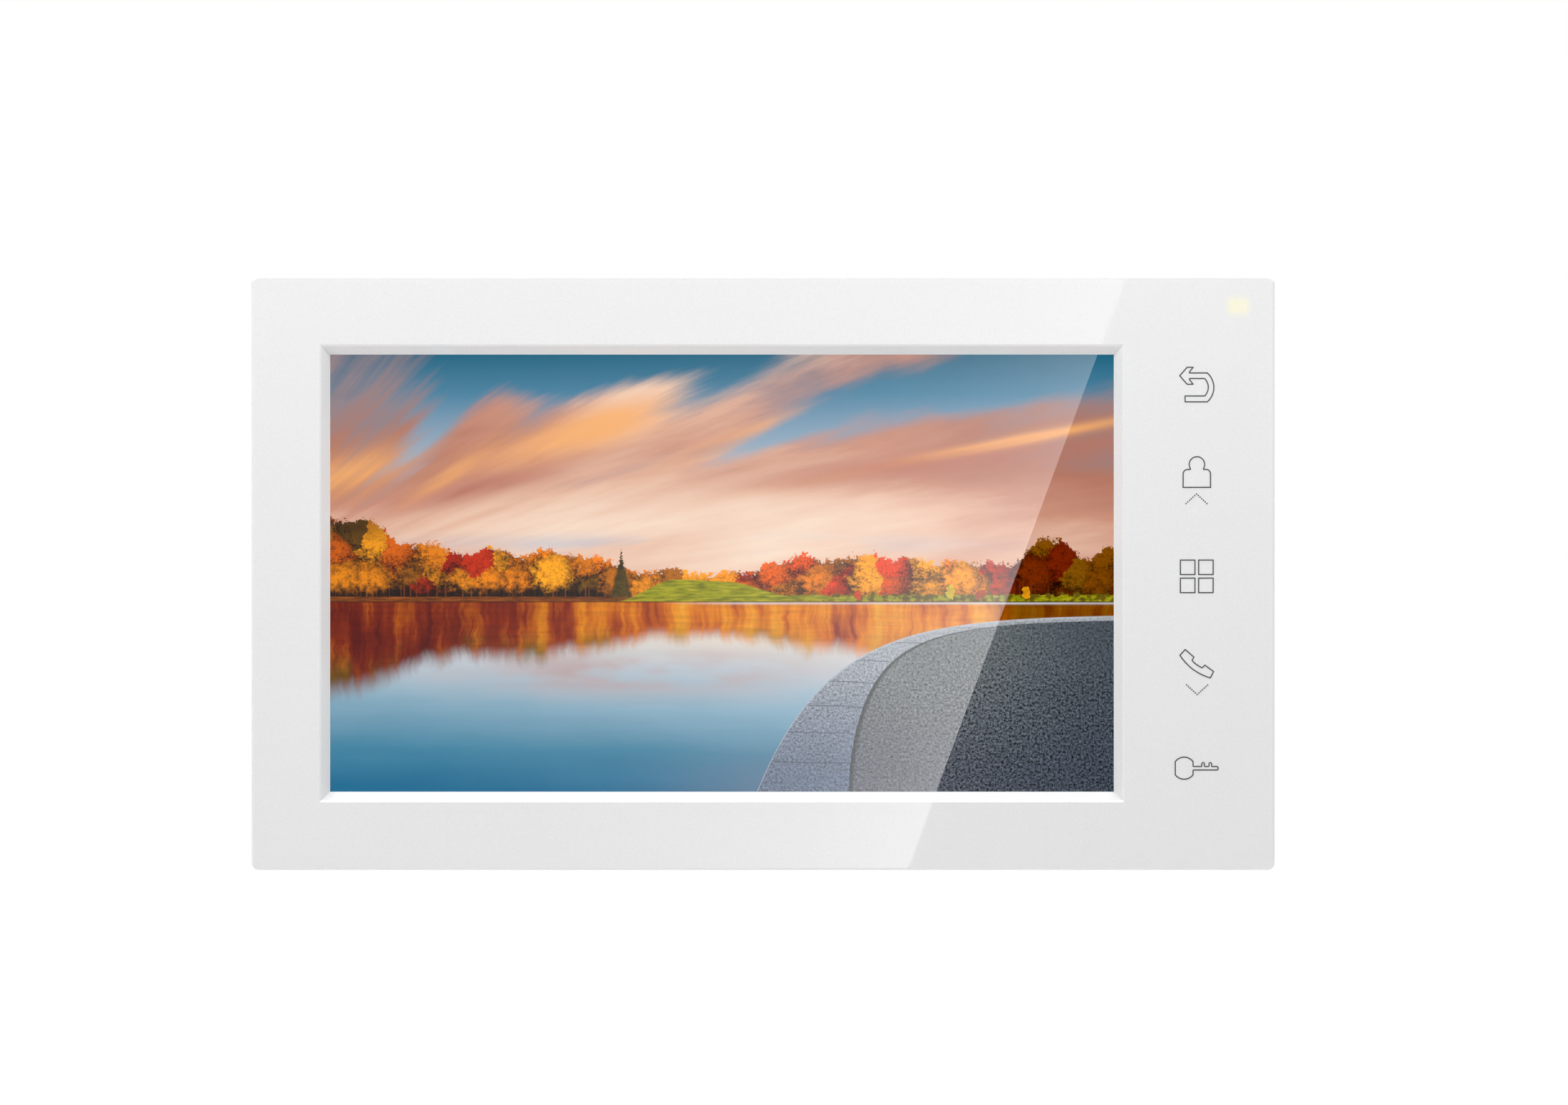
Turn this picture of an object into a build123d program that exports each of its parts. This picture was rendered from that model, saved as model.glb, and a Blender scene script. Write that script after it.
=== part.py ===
from build123d import *
import math
import os

# Video intercom monitor on its wall bracket, in millimetres.
#
# X runs to the viewer's right, Z up and the front faces -Y. The origin is the middle of the
# bracket's screw pattern on the wall, and the wall is the plane Y = 0. A name that ends in
# "_at" is a distance from the wall: a sketch on Plane.XZ.offset(d) lies d in front of the
# wall, and a positive extrusion from it runs towards the viewer.

os.makedirs("parts", exist_ok=True)

# Casing
body_width = 201.0
body_height = 116.8
body_depth = 22.0
corner_radius = 1.5
edge_round = 0.45
wall = 2.0
back_at = 1.0
seam_at = 10.0
front_wall_at = 19.8
cover_inset = 0.5
back_chamfer = 1.2
label_film = 0.1
label_place = (78.5, 8.0)
air_bank_places = (-36.0, 34.0)
air_slot_at = 6.2
air_slot_count = 9
air_slot_pitch = 4.0
air_slot_width = 1.6
air_slot_length = 4.4
tongue_gap = 0.2
tongue_wall = 1.2
tongue_height = 1.5
tongue_root = 1.5
rib_width = 1.6
rib_length = 4.0
cover_width = body_width - 2 * cover_inset
cover_height = body_height - 2 * cover_inset
cavity_width = body_width - 2 * wall
cavity_height = body_height - 2 * wall
floor_at = back_at + 1.8

# Window and screen
screen_x = -8.1
window_width = 154.1
window_height = 86.0
bevel = 2.05
rim_width = 0.37
rim_depth = 0.18
# Each ring of the window's bevel: its distance from the wall, and how far it stands outside the opening
bevel_rings = (
    (front_wall_at, 0.0),
    (body_depth - rim_depth, bevel - rim_width),
    (body_depth, bevel),
)
pane_width = 160.0
pane_height = 92.0
pane_thickness = 1.0
pane_at = 18.65
tape_thickness = 0.15
gasket_at = 18.25
lcd_width = 165.0
lcd_height = 100.0
lcd_at = 12.55
bezel_edge_at = lcd_at + 1.5
bezel_sheet = 0.3
panel_at = 16.6
panel_width = 162.0
panel_height = 97.0
panel_thickness = 1.3
light_at = 13.0
flex_x = 24.0
flex_width = 24.0
flex_thickness = 0.2
backplate_at = 11.7
backplate_thickness = 0.8

# Main board
board_at = 8.4
board_thickness = 1.6
board_left = -56.0
board_right = 96.0
board_height = 90.0
board_front_at = board_at + board_thickness
processor_place = (34.0, 22.0)
processor_width = 17.0
chip_lift = 0.2
pin_span = 5.4
pin_pitch = 1.27
pin_length = 1.6
pin_width = 0.4
pin_thickness = 0.3
inductor_spots = [(72.0, -16.0), (72.0, 2.0)]
inductor_width = 12.0
inductor_height = 4.6
capacitor_spots = [(66.0, 24.0), (74.0, 24.0), (82.0, 24.0), (66.0, -28.0)]
capacitor_base = 1.0
capacitor_can = 4.2

# Recess for the bracket, and the wiring pocket in its floor with its headers
recess_width = 116.0
recess_height = 84.0
recess_z = -3.0
recess_floor_at = 5.0
recess_skin = 1.4
pocket_width = 44.0
pocket_height = 28.0
pocket_z = -12.0
pocket_rim_at = 8.2
header_places_x = (-15.6, -5.2, 5.2, 15.6)
header_width = 9.9
header_depth = 4.6
header_y = header_depth / 2 - board_at
header_top = pocket_z + pocket_height / 2 - 1.0
header_length = 7.6
header_floor = 1.2

# Bracket and its hooks
plate_width = 110.0
plate_height = 76.0
plate_thickness = 1.2
flange_depth = 3.8
flange_length = 68.0
bend_radius = 0.9
bend_relief = 2.0
hook_x = plate_width / 2 - plate_thickness / 2
hook_tops = (26.0, -16.0)
hook_neck = 4.0
hook_rise = 5.0
lip_at = 6.7
lip_end_at = 8.1
slot_width = 2.0
slot_drop = 10.6
slot_play = 0.05
plug_spacing_x = 84.0
plug_spacing_z = 60.0
plug_hole = 2.25
box_spacing = 60.0
box_slot_length = 8.0
box_slot_width = 4.2

# Touch keys
key_x = 85.22
key_heights = (37.1, 19.2, -0.6, -18.9, -37.9)
pad_radius = 5.5
touch_at = 16.1
touch_thickness = 1.2
touch_left = 77.5
touch_right = 97.5
touch_bottom = -47.0
touch_top = 55.0
touch_x = (touch_left + touch_right) / 2
touch_z = (touch_bottom + touch_top) / 2
ribbon_z = -9.0
ribbon_width = 9.0
ink = 0.04
stroke = 0.24
caret_step_x = 0.345
caret_step_z = 0.315
dot_radius = 0.145

# Status light, speaker and microphone
led_x = 93.4
led_z = 52.5
led_skin = 0.5
led_well_at = 18.3
speaker_x = -77.0
speaker_radius = 16.0
speaker_post_height = 3.0
speaker_gasket_thickness = 0.6
basket_rim = 1.6
basket_sheet = 0.8
speaker_seat_at = floor_at + speaker_gasket_thickness
magnet_at = speaker_seat_at + basket_rim + basket_sheet
magnet_height = 3.2
clamp_sheet = 1.0
clamp_head_at = magnet_at + clamp_sheet
clamp_screw_at = floor_at + 0.4
sound_hole = 0.9
sound_hole_pitch = 3.5
mic_x = 85.0
mic_at = 5.7
mic_top_z = -54.2
mic_radius = 2.0
boot_radius = 2.6
mic_tube_length = 2.9

# Power switch and memory card on the right-hand edge
switch_z = -30.0
switch_at = 6.2
switch_travel = 2.0
switch_body_at = 4.4
knob_rest_z = switch_z - switch_travel / 2
card_z = 10.0
card_at = 6.9
card_thickness = 0.8
card_width = 11.0
card_length = 15.0
card_end_x = 99.4
socket_roof = 0.5
finger_ridge = 0.25

# Fasteners
case_screw_spots = [(-94.4, 52.4), (-94.4, -52.4), (-8.0, 53.2), (-8.0, -53.2), (70.0, 53.2), (94.4, -52.4)]
lcd_screw_spots = [(-60.0, 52.6), (-60.0, -52.6), (45.0, 52.6), (45.0, -52.6)]
board_screw_spots = [(-50.0, 40.0), (-50.0, -40.0), (68.0, 40.0), (68.0, -40.0)]
touch_screw_spots = [(82.0, 49.5), (key_x, 9.3), (key_x, -28.4)]
clamp_spots = [(speaker_x + dx, dz) for dx in (-13.6, 13.6) for dz in (-13.6, 13.6)]
case_boss_at = 11.6
case_boss_radius = 3.0
case_pilot_depth = 7.0
lcd_pilot_depth = 5.5
head_seat_at = 5.5
tower_radius = 4.2
tower_step = 0.5
tower_bore = 1.7


def cross_screw(head_radius, head_height, shank_radius, shank_length, cross_width, cross_slot, cross_depth):
    """A screw seated at the origin, with its rounded head and cross recess towards the wall."""
    with BuildPart() as screw:
        with BuildSketch(Plane.XZ.offset(-head_height)):
            Circle(head_radius)
        extrude(amount=head_height)
        fillet(screw.faces().sort_by(Axis.Y)[-1].edges(), head_height * 0.3)
        with BuildSketch(Plane.XZ):
            Circle(shank_radius)
        extrude(amount=shank_length)
        with BuildSketch(Plane.XZ.offset(-head_height)):
            Rectangle(cross_width, cross_slot)
            Rectangle(cross_slot, cross_width)
        extrude(amount=cross_depth, mode=Mode.SUBTRACT)
    return screw.part


def chip(x, z, at, body_width, body_height, body_thickness, pin_rows):
    """A small-outline chip standing on a board's wall side: its body, and two columns of pins."""
    with BuildPart() as package:
        with BuildSketch(Plane.XZ.offset(at - chip_lift - body_thickness)):
            with Locations((x, z)):
                Rectangle(body_width, body_height)
        extrude(amount=body_thickness)
        with BuildSketch(Plane.XZ.offset(at - pin_thickness)):
            with Locations((x, z)):
                with GridLocations(pin_span, pin_pitch, 2, pin_rows):
                    Rectangle(pin_length, pin_width)
        extrude(amount=pin_thickness)
    return package.part


# ---------------------------------------------------------------- casing

with BuildPart() as front_frame:
    with BuildSketch(Plane.XZ.offset(seam_at)):
        RectangleRounded(body_width, body_height, corner_radius)
    extrude(amount=body_depth - seam_at)
    fillet(front_frame.faces().sort_by(Axis.Y)[0].edges(), edge_round)
    with BuildSketch(Plane.XZ.offset(seam_at)):
        RectangleRounded(cavity_width, cavity_height, corner_radius / 2)
    extrude(amount=front_wall_at - seam_at, mode=Mode.SUBTRACT)
    # Bevelled window with a softened rim
    for ring_at, spread in bevel_rings:
        with BuildSketch(Plane.XZ.offset(ring_at)):
            with Locations((screen_x, 0)):
                Rectangle(window_width + 2 * spread, window_height + 2 * spread)
    loft(ruled=True, mode=Mode.SUBTRACT)
    # Rib that locates the pane
    with BuildSketch(Plane.XZ.offset(gasket_at + 0.15)):
        with Locations((screen_x, 0)):
            Rectangle(pane_width + 3.0, pane_height + 3.0)
            Rectangle(pane_width + 0.6, pane_height + 0.6, mode=Mode.SUBTRACT)
    extrude(amount=front_wall_at - gasket_at - 0.15)
    # Bosses for the case screws, each tied to the nearest long wall
    with BuildSketch(Plane.XZ.offset(case_boss_at)):
        with Locations(*case_screw_spots):
            Circle(case_boss_radius)
        for x, z in case_screw_spots:
            with Locations((x, math.copysign(cavity_height / 2 - 1.0, z))):
                Rectangle(rib_width, rib_length)
    extrude(amount=front_wall_at - case_boss_at)
    with BuildSketch(Plane.XZ.offset(case_boss_at)):
        with Locations(*case_screw_spots):
            Circle(1.55)
    extrude(amount=case_pilot_depth, mode=Mode.SUBTRACT)
    # Bosses for the display's backplate
    with BuildSketch(Plane.XZ.offset(backplate_at + backplate_thickness)):
        with Locations(*lcd_screw_spots):
            Circle(2.3)
        for x, z in lcd_screw_spots:
            with Locations((x, math.copysign(cavity_height / 2 - 1.0, z))):
                Rectangle(rib_width - 0.2, rib_length)
    extrude(amount=front_wall_at - backplate_at - backplate_thickness)
    with BuildSketch(Plane.XZ.offset(backplate_at + backplate_thickness)):
        with Locations(*lcd_screw_spots):
            Circle(1.25)
    extrude(amount=lcd_pilot_depth, mode=Mode.SUBTRACT)
    # Bosses for the touch board
    with BuildSketch(Plane.XZ.offset(touch_at + touch_thickness)):
        with Locations(*touch_screw_spots):
            Circle(2.2)
            Circle(0.95, mode=Mode.SUBTRACT)
    extrude(amount=front_wall_at - touch_at - touch_thickness)
    # Light well that leaves a thin skin over the status light
    with BuildSketch(Plane.XZ.offset(led_well_at)):
        with Locations((led_x, led_z)):
            RectangleRounded(5.6, 4.8, 0.8)
    extrude(amount=front_wall_at - led_well_at)
    with BuildSketch(Plane.XZ.offset(led_well_at)):
        with Locations((led_x, led_z)):
            RectangleRounded(3.7, 2.9, 0.6)
    extrude(amount=body_depth - led_skin - led_well_at, mode=Mode.SUBTRACT)
front_frame.part.label = "front_frame"
export_step(front_frame.part, "parts/front_frame.step")

with BuildPart() as rear_cover:
    with BuildSketch(Plane.XZ.offset(back_at)):
        RectangleRounded(cover_width, cover_height, corner_radius)
    extrude(amount=seam_at - back_at)
    chamfer(rear_cover.faces().sort_by(Axis.Y)[-1].edges(), back_chamfer)
    with BuildSketch(Plane.XZ.offset(floor_at)):
        RectangleRounded(cover_width - 2 * wall, cover_height - 2 * wall, corner_radius / 2)
    extrude(amount=seam_at - floor_at, mode=Mode.SUBTRACT)
    # Tongue that fits inside the front frame
    with BuildSketch(Plane.XZ.offset(seam_at - tongue_root)):
        RectangleRounded(cavity_width - 2 * tongue_gap, cavity_height - 2 * tongue_gap, 0.6)
        Rectangle(
            cavity_width - 2 * (tongue_gap + tongue_wall),
            cavity_height - 2 * (tongue_gap + tongue_wall),
            mode=Mode.SUBTRACT,
        )
    extrude(amount=tongue_root + tongue_height)
    # Recess for the bracket
    with BuildSketch(Plane.XZ.offset(back_at + 0.5)):
        with Locations((0, recess_z)):
            Rectangle(recess_width + 2 * recess_skin, recess_height + 2 * recess_skin)
    extrude(amount=recess_floor_at + recess_skin - back_at - 0.5)
    with BuildSketch(Plane.XZ.offset(back_at)):
        with Locations((0, recess_z)):
            RectangleRounded(recess_width, recess_height, 2.0)
    extrude(amount=recess_floor_at - back_at, mode=Mode.SUBTRACT)
    # Wiring pocket
    with BuildSketch(Plane.XZ.offset(recess_floor_at)):
        with Locations((0, pocket_z)):
            Rectangle(pocket_width + 2.4, pocket_height + 2.4)
    extrude(amount=pocket_rim_at - recess_floor_at)
    with BuildSketch(Plane.XZ.offset(recess_floor_at)):
        with Locations((0, pocket_z)):
            Rectangle(pocket_width, pocket_height)
    extrude(amount=pocket_rim_at - recess_floor_at, mode=Mode.SUBTRACT)
    # Slots for the bracket's hooks
    with BuildSketch(Plane.XZ.offset(recess_floor_at)):
        for top in hook_tops:
            slot_z = top + slot_play - slot_drop / 2
            with Locations((-hook_x, slot_z), (hook_x, slot_z)):
                Rectangle(slot_width, slot_drop)
    extrude(amount=recess_skin, mode=Mode.SUBTRACT)
    # Screw towers with counterbores
    with BuildSketch(Plane.XZ.offset(floor_at)):
        with Locations(*case_screw_spots):
            Circle(tower_radius)
    extrude(amount=seam_at - floor_at - tower_step)
    with BuildSketch(Plane.XZ.offset(seam_at - tower_step)):
        with Locations(*case_screw_spots):
            Circle(case_boss_radius)
    extrude(amount=tongue_height + tower_step)
    with BuildSketch(Plane.XZ.offset(back_at)):
        with Locations(*case_screw_spots):
            Circle(3.1)
    extrude(amount=head_seat_at - back_at, mode=Mode.SUBTRACT)
    with BuildSketch(Plane.XZ.offset(back_at)):
        with Locations(*case_screw_spots):
            Circle(tower_bore)
    extrude(amount=seam_at + tongue_height - back_at, mode=Mode.SUBTRACT)
    # Posts for the speaker's clamps
    with BuildSketch(Plane.XZ.offset(floor_at)):
        with Locations(*clamp_spots):
            Circle(2.2)
            Circle(1.05, mode=Mode.SUBTRACT)
    extrude(amount=speaker_post_height)
    # Sound holes behind the speaker
    with BuildSketch(Plane.XZ.offset(back_at)):
        with Locations((speaker_x, 0)):
            Circle(sound_hole)
            for ring in (1, 2, 3):
                with PolarLocations(sound_hole_pitch * ring, 6 * ring):
                    Circle(sound_hole)
    extrude(amount=floor_at - back_at, mode=Mode.SUBTRACT)
    # Air slots through the top and bottom walls
    for side in (-1, 1):
        with BuildSketch(Plane.XY.offset(side * (cover_height / 2 - wall - 0.1))):
            for bank_x in air_bank_places:
                with Locations((bank_x, -air_slot_at)):
                    with GridLocations(air_slot_pitch, 0, air_slot_count, 1):
                        Rectangle(air_slot_width, air_slot_length)
        extrude(amount=side * (wall + 0.2), mode=Mode.SUBTRACT)
    # Slots for the switch and the memory card in the right-hand wall
    with BuildSketch(Plane.YZ.offset(cover_width / 2 - wall - 0.1)):
        with Locations((-switch_at, switch_z)):
            Rectangle(2.6, 6.4)
        with Locations((-card_at - card_thickness / 2, card_z)):
            Rectangle(1.8, card_width + 1.2)
    extrude(amount=wall + 0.2, mode=Mode.SUBTRACT)
    # Tube that holds the microphone, over its sound hole
    with BuildSketch(Plane.XY.offset(-cover_height / 2 + wall - 0.1)):
        with Locations((mic_x, -mic_at)):
            Circle(boot_radius + 0.9)
            Circle(boot_radius + 0.05, mode=Mode.SUBTRACT)
    extrude(amount=mic_tube_length)
    with BuildSketch(Plane.XY.offset(-cover_height / 2)):
        with Locations((mic_x, -mic_at)):
            Circle(0.6)
    extrude(amount=wall, mode=Mode.SUBTRACT)
rear_cover.part.label = "rear_cover"
export_step(rear_cover.part, "parts/rear_cover.step")

with BuildPart() as case_screws:
    with Locations(*[(x, -head_seat_at, z) for x, z in case_screw_spots]):
        add(
            cross_screw(
                head_radius=2.8, head_height=2.0, shank_radius=1.5, shank_length=12.0,
                cross_width=3.2, cross_slot=0.7, cross_depth=1.1,
            )
        )
case_screws.part.label = "case_screws"
export_step(case_screws.part, "parts/case_screws.step")

with BuildPart() as blank_label:
    with BuildSketch(Plane.XZ.offset(back_at - label_film)):
        with Locations(label_place):
            RectangleRounded(30.0, 46.0, 1.5)
    extrude(amount=label_film)
blank_label.part.label = "blank_label"
export_step(blank_label.part, "parts/blank_label.step")

# ---------------------------------------------------------------- wall bracket

with BuildPart() as wall_bracket:
    with BuildSketch(Plane.XZ):
        RectangleRounded(plate_width - 2 * bend_relief, plate_height, 3.0)
        Rectangle(plate_width, flange_length)
        with Locations((0, pocket_z)):
            RectangleRounded(pocket_width, pocket_height + 2.0, 2.0, mode=Mode.SUBTRACT)
        with GridLocations(plug_spacing_x, plug_spacing_z, 2, 2):
            Circle(plug_hole, mode=Mode.SUBTRACT)
        with GridLocations(box_spacing, 0, 2, 1):
            SlotOverall(box_slot_length, box_slot_width, mode=Mode.SUBTRACT)
    extrude(amount=plate_thickness)
    # Folded flanges, with the hooks cut from them
    for side_x in (-plate_width / 2, plate_width / 2 - plate_thickness):
        with BuildSketch(Plane.YZ.offset(side_x)):
            with Locations((-flange_depth / 2, 0)):
                Rectangle(flange_depth, flange_length)
            for top in hook_tops:
                with Locations((-lip_end_at / 2, top - hook_neck / 2)):
                    Rectangle(lip_end_at, hook_neck)
                with Locations(((-lip_at - lip_end_at) / 2, top + hook_rise / 2)):
                    Rectangle(lip_end_at - lip_at, hook_rise)
        extrude(amount=plate_thickness)
    bends = wall_bracket.edges().filter_by(Axis.Z).group_by(Axis.Y)[-1].sort_by(Axis.X)
    fillet([bends[0], bends[-1]], bend_radius)
wall_bracket.part.label = "wall_bracket"
export_step(wall_bracket.part, "parts/wall_bracket.step")

# ---------------------------------------------------------------- window and display

with BuildPart() as window_tape:
    with BuildSketch(Plane.XZ.offset(front_wall_at - tape_thickness)):
        with Locations((screen_x, 0)):
            Rectangle(pane_width - 0.4, pane_height - 0.4)
            Rectangle(window_width + 0.2, window_height + 0.2, mode=Mode.SUBTRACT)
    extrude(amount=tape_thickness)
window_tape.part.label = "window_tape"
export_step(window_tape.part, "parts/window_tape.step")

with BuildPart() as screen_window:
    with BuildSketch(Plane.XZ.offset(pane_at)):
        with Locations((screen_x, 0)):
            RectangleRounded(pane_width, pane_height, 0.5)
    extrude(amount=pane_thickness)
screen_window.part.label = "screen_window"
export_step(screen_window.part, "parts/screen_window.step")

with BuildPart() as lcd_gasket:
    with BuildSketch(Plane.XZ.offset(gasket_at)):
        with Locations((screen_x, 0)):
            Rectangle(pane_width - 2.0, pane_height - 2.0)
            Rectangle(window_width + 0.7, window_height + 0.7, mode=Mode.SUBTRACT)
    extrude(amount=pane_at - gasket_at)
lcd_gasket.part.label = "lcd_gasket"
export_step(lcd_gasket.part, "parts/lcd_gasket.step")

with BuildPart() as lcd_bezel:
    with BuildSketch(Plane.XZ.offset(bezel_edge_at)):
        with Locations((screen_x, 0)):
            Rectangle(lcd_width, lcd_height)
    extrude(amount=gasket_at - bezel_edge_at)
    with BuildSketch(Plane.XZ.offset(bezel_edge_at)):
        with Locations((screen_x, 0)):
            Rectangle(lcd_width - 0.5, lcd_height - 0.5)
    extrude(amount=gasket_at - bezel_edge_at - bezel_sheet, mode=Mode.SUBTRACT)
    with BuildSketch(Plane.XZ.offset(lcd_at)):
        with Locations((screen_x, 0)):
            Rectangle(window_width + 1.0, window_height + 1.0)
        with Locations((flex_x, -lcd_height / 2)):
            Rectangle(flex_width + 2.0, 1.0)
    extrude(amount=gasket_at - lcd_at, mode=Mode.SUBTRACT)
lcd_bezel.part.label = "lcd_bezel"
export_step(lcd_bezel.part, "parts/lcd_bezel.step")

with BuildPart() as lcd_panel:
    with BuildSketch(Plane.XZ.offset(panel_at)):
        with Locations((screen_x, 0)):
            Rectangle(panel_width, panel_height)
    extrude(amount=panel_thickness)
lcd_panel.part.label = "lcd_panel"
export_step(lcd_panel.part, "parts/lcd_panel.step")

with BuildPart() as lcd_backlight:
    with BuildSketch(Plane.XZ.offset(light_at)):
        with Locations((screen_x, 1.2)):
            Rectangle(panel_width, panel_height - 3.0)
    extrude(amount=panel_at - light_at - 0.05)
lcd_backlight.part.label = "lcd_backlight"
export_step(lcd_backlight.part, "parts/lcd_backlight.step")

with BuildPart() as backlight_leds:
    with BuildSketch(Plane.XZ.offset(light_at)):
        with Locations((screen_x, -48.2)):
            Rectangle(150.0, 0.6)
        with Locations((screen_x, -47.4)):
            with GridLocations(7.5, 0, 20, 1):
                Rectangle(3.0, 1.0)
    extrude(amount=1.6)
backlight_leds.part.label = "backlight_leds"
export_step(backlight_leds.part, "parts/backlight_leds.step")

with BuildPart() as lcd_chassis:
    with BuildSketch(Plane.XZ.offset(lcd_at)):
        with Locations((screen_x, 0)):
            Rectangle(lcd_width - 0.6, lcd_height - 0.6)
    extrude(amount=panel_at + panel_thickness - lcd_at)
    with BuildSketch(Plane.XZ.offset(lcd_at + 0.4)):
        with Locations((screen_x, 0)):
            Rectangle(lcd_width - 1.6, lcd_height - 1.6)
    extrude(amount=panel_at + 1.0 - lcd_at, mode=Mode.SUBTRACT)
    # Notch for the display's flex
    with BuildSketch(Plane.XZ.offset(panel_at - 1.0)):
        with Locations((flex_x, -lcd_height / 2 + 0.5)):
            Rectangle(flex_width + 2.0, 1.2)
    extrude(amount=2.5, mode=Mode.SUBTRACT)
lcd_chassis.part.label = "lcd_chassis"
export_step(lcd_chassis.part, "parts/lcd_chassis.step")

with BuildPart() as lcd_backplate:
    with BuildSketch(Plane.XZ.offset(backplate_at)):
        with Locations((-7.0, 0)):
            RectangleRounded(158.0, 96.0, 2.0)
        for x, z in lcd_screw_spots:
            with Locations((x, math.copysign(50.0, z))):
                Rectangle(8.0, 5.2)
        with Locations(*lcd_screw_spots):
            Circle(2.8)
            Circle(1.25, mode=Mode.SUBTRACT)
        with Locations(*board_screw_spots):
            Circle(1.25, mode=Mode.SUBTRACT)
        with Locations((-74.0, 0), (-20.0, 0), (34.0, 0)):
            RectangleRounded(16.0, 56.0, 3.0, mode=Mode.SUBTRACT)
    extrude(amount=backplate_thickness)
lcd_backplate.part.label = "lcd_backplate"
export_step(lcd_backplate.part, "parts/lcd_backplate.step")

with BuildPart() as lcd_screws:
    with Locations(*[(x, -backplate_at, z) for x, z in lcd_screw_spots]):
        add(
            cross_screw(
                head_radius=2.0, head_height=1.5, shank_radius=1.2, shank_length=5.5,
                cross_width=2.4, cross_slot=0.5, cross_depth=0.7,
            )
        )
lcd_screws.part.label = "lcd_screws"
export_step(lcd_screws.part, "parts/lcd_screws.step")

# A flat ribbon cable is a bent strip, drawn in the YZ plane
with BuildPart() as lcd_flex:
    with BuildSketch(Plane.YZ.offset(flex_x - flex_width / 2)):
        with BuildLine():
            FilletPolyline(
                (-panel_at + 0.15, -48.3), (-panel_at + 0.15, -51.6), (-10.75, -51.6), (-10.75, -43.0),
                radius=1.6,
            )
        trace(line_width=flex_thickness)
    extrude(amount=flex_width)
lcd_flex.part.label = "lcd_flex"
export_step(lcd_flex.part, "parts/lcd_flex.step")

with BuildPart() as lcd_connector:
    with BuildSketch(Plane.XZ.offset(board_front_at)):
        with Locations((flex_x, -42.0)):
            Rectangle(flex_width + 3.0, 5.0)
    extrude(amount=1.3)
    with BuildSketch(Plane.XZ.offset(board_front_at + 0.55)):
        with Locations((flex_x, -44.0)):
            Rectangle(flex_width + 0.4, 3.0)
    extrude(amount=0.4, mode=Mode.SUBTRACT)
lcd_connector.part.label = "lcd_connector"
export_step(lcd_connector.part, "parts/lcd_connector.step")

# ---------------------------------------------------------------- main board

with BuildPart() as board_standoffs:
    with BuildSketch(Plane.XZ.offset(board_front_at)):
        with Locations(*board_screw_spots):
            RegularPolygon(2.8, 6)
            Circle(1.25, mode=Mode.SUBTRACT)
    extrude(amount=backplate_at - board_front_at)
board_standoffs.part.label = "board_standoffs"
export_step(board_standoffs.part, "parts/board_standoffs.step")

with BuildPart() as main_board:
    with BuildSketch(Plane.XZ.offset(board_at)):
        with Locations(((board_left + board_right) / 2, 0)):
            RectangleRounded(board_right - board_left, board_height, 1.5)
        with Locations(*board_screw_spots):
            Circle(1.4, mode=Mode.SUBTRACT)
    extrude(amount=board_thickness)
main_board.part.label = "main_board"
export_step(main_board.part, "parts/main_board.step")

with BuildPart() as board_screws:
    with Locations(*[(x, -board_at, z) for x, z in board_screw_spots]):
        add(
            cross_screw(
                head_radius=2.2, head_height=1.4, shank_radius=1.2,
                shank_length=backplate_at + backplate_thickness - board_at,
                cross_width=2.6, cross_slot=0.5, cross_depth=0.7,
            )
        )
board_screws.part.label = "board_screws"
export_step(board_screws.part, "parts/board_screws.step")

with BuildPart() as processor:
    with BuildSketch(Plane.XZ.offset(board_at - 1.2)):
        with Locations(processor_place):
            RectangleRounded(processor_width, processor_width, 0.5)
    extrude(amount=0.9)
    with BuildSketch(Plane.XZ.offset(board_at - 0.3)):
        with Locations(processor_place):
            Rectangle(processor_width, processor_width)
    extrude(amount=0.3)
    chamfer(processor.faces().sort_by(Axis.Y)[-1].edges(), 0.2)
processor.part.label = "processor"
export_step(processor.part, "parts/processor.step")

with BuildPart() as memory_chips:
    with BuildSketch(Plane.XZ.offset(board_at - 1.0)):
        with Locations((10.0, 22.0), (-8.0, 22.0)):
            Rectangle(8.0, 13.5)
    extrude(amount=1.0)
    chamfer(memory_chips.faces().sort_by(Axis.Y)[-2:].edges(), 0.15)
memory_chips.part.label = "memory_chips"
export_step(memory_chips.part, "parts/memory_chips.step")

with BuildPart() as audio_amplifier:
    add(chip(-40.0, -10.0, board_at, body_width=3.9, body_height=4.9, body_thickness=1.4, pin_rows=4))
audio_amplifier.part.label = "audio_amplifier"
export_step(audio_amplifier.part, "parts/audio_amplifier.step")

with BuildPart() as power_inductors:
    with BuildSketch(Plane.XZ.offset(board_at - inductor_height)):
        with Locations(*inductor_spots):
            RectangleRounded(inductor_width, inductor_width, 2.0)
    extrude(amount=inductor_height)
    with BuildSketch(Plane.XZ.offset(board_at - inductor_height)):
        with Locations(*inductor_spots):
            Circle(3.6)
    extrude(amount=0.8, mode=Mode.SUBTRACT)
power_inductors.part.label = "power_inductors"
export_step(power_inductors.part, "parts/power_inductors.step")

with BuildPart() as capacitors:
    with BuildSketch(Plane.XZ.offset(board_at - capacitor_base)):
        with Locations(*capacitor_spots):
            Rectangle(6.6, 6.6)
    extrude(amount=capacitor_base)
    with BuildSketch(Plane.XZ.offset(board_at - capacitor_base - capacitor_can)):
        with Locations(*capacitor_spots):
            Circle(3.15)
    extrude(amount=capacitor_can)
    fillet(capacitors.faces().sort_by(Axis.Y)[-4:].edges(), 0.5)
capacitors.part.label = "capacitors"
export_step(capacitors.part, "parts/capacitors.step")

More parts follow.
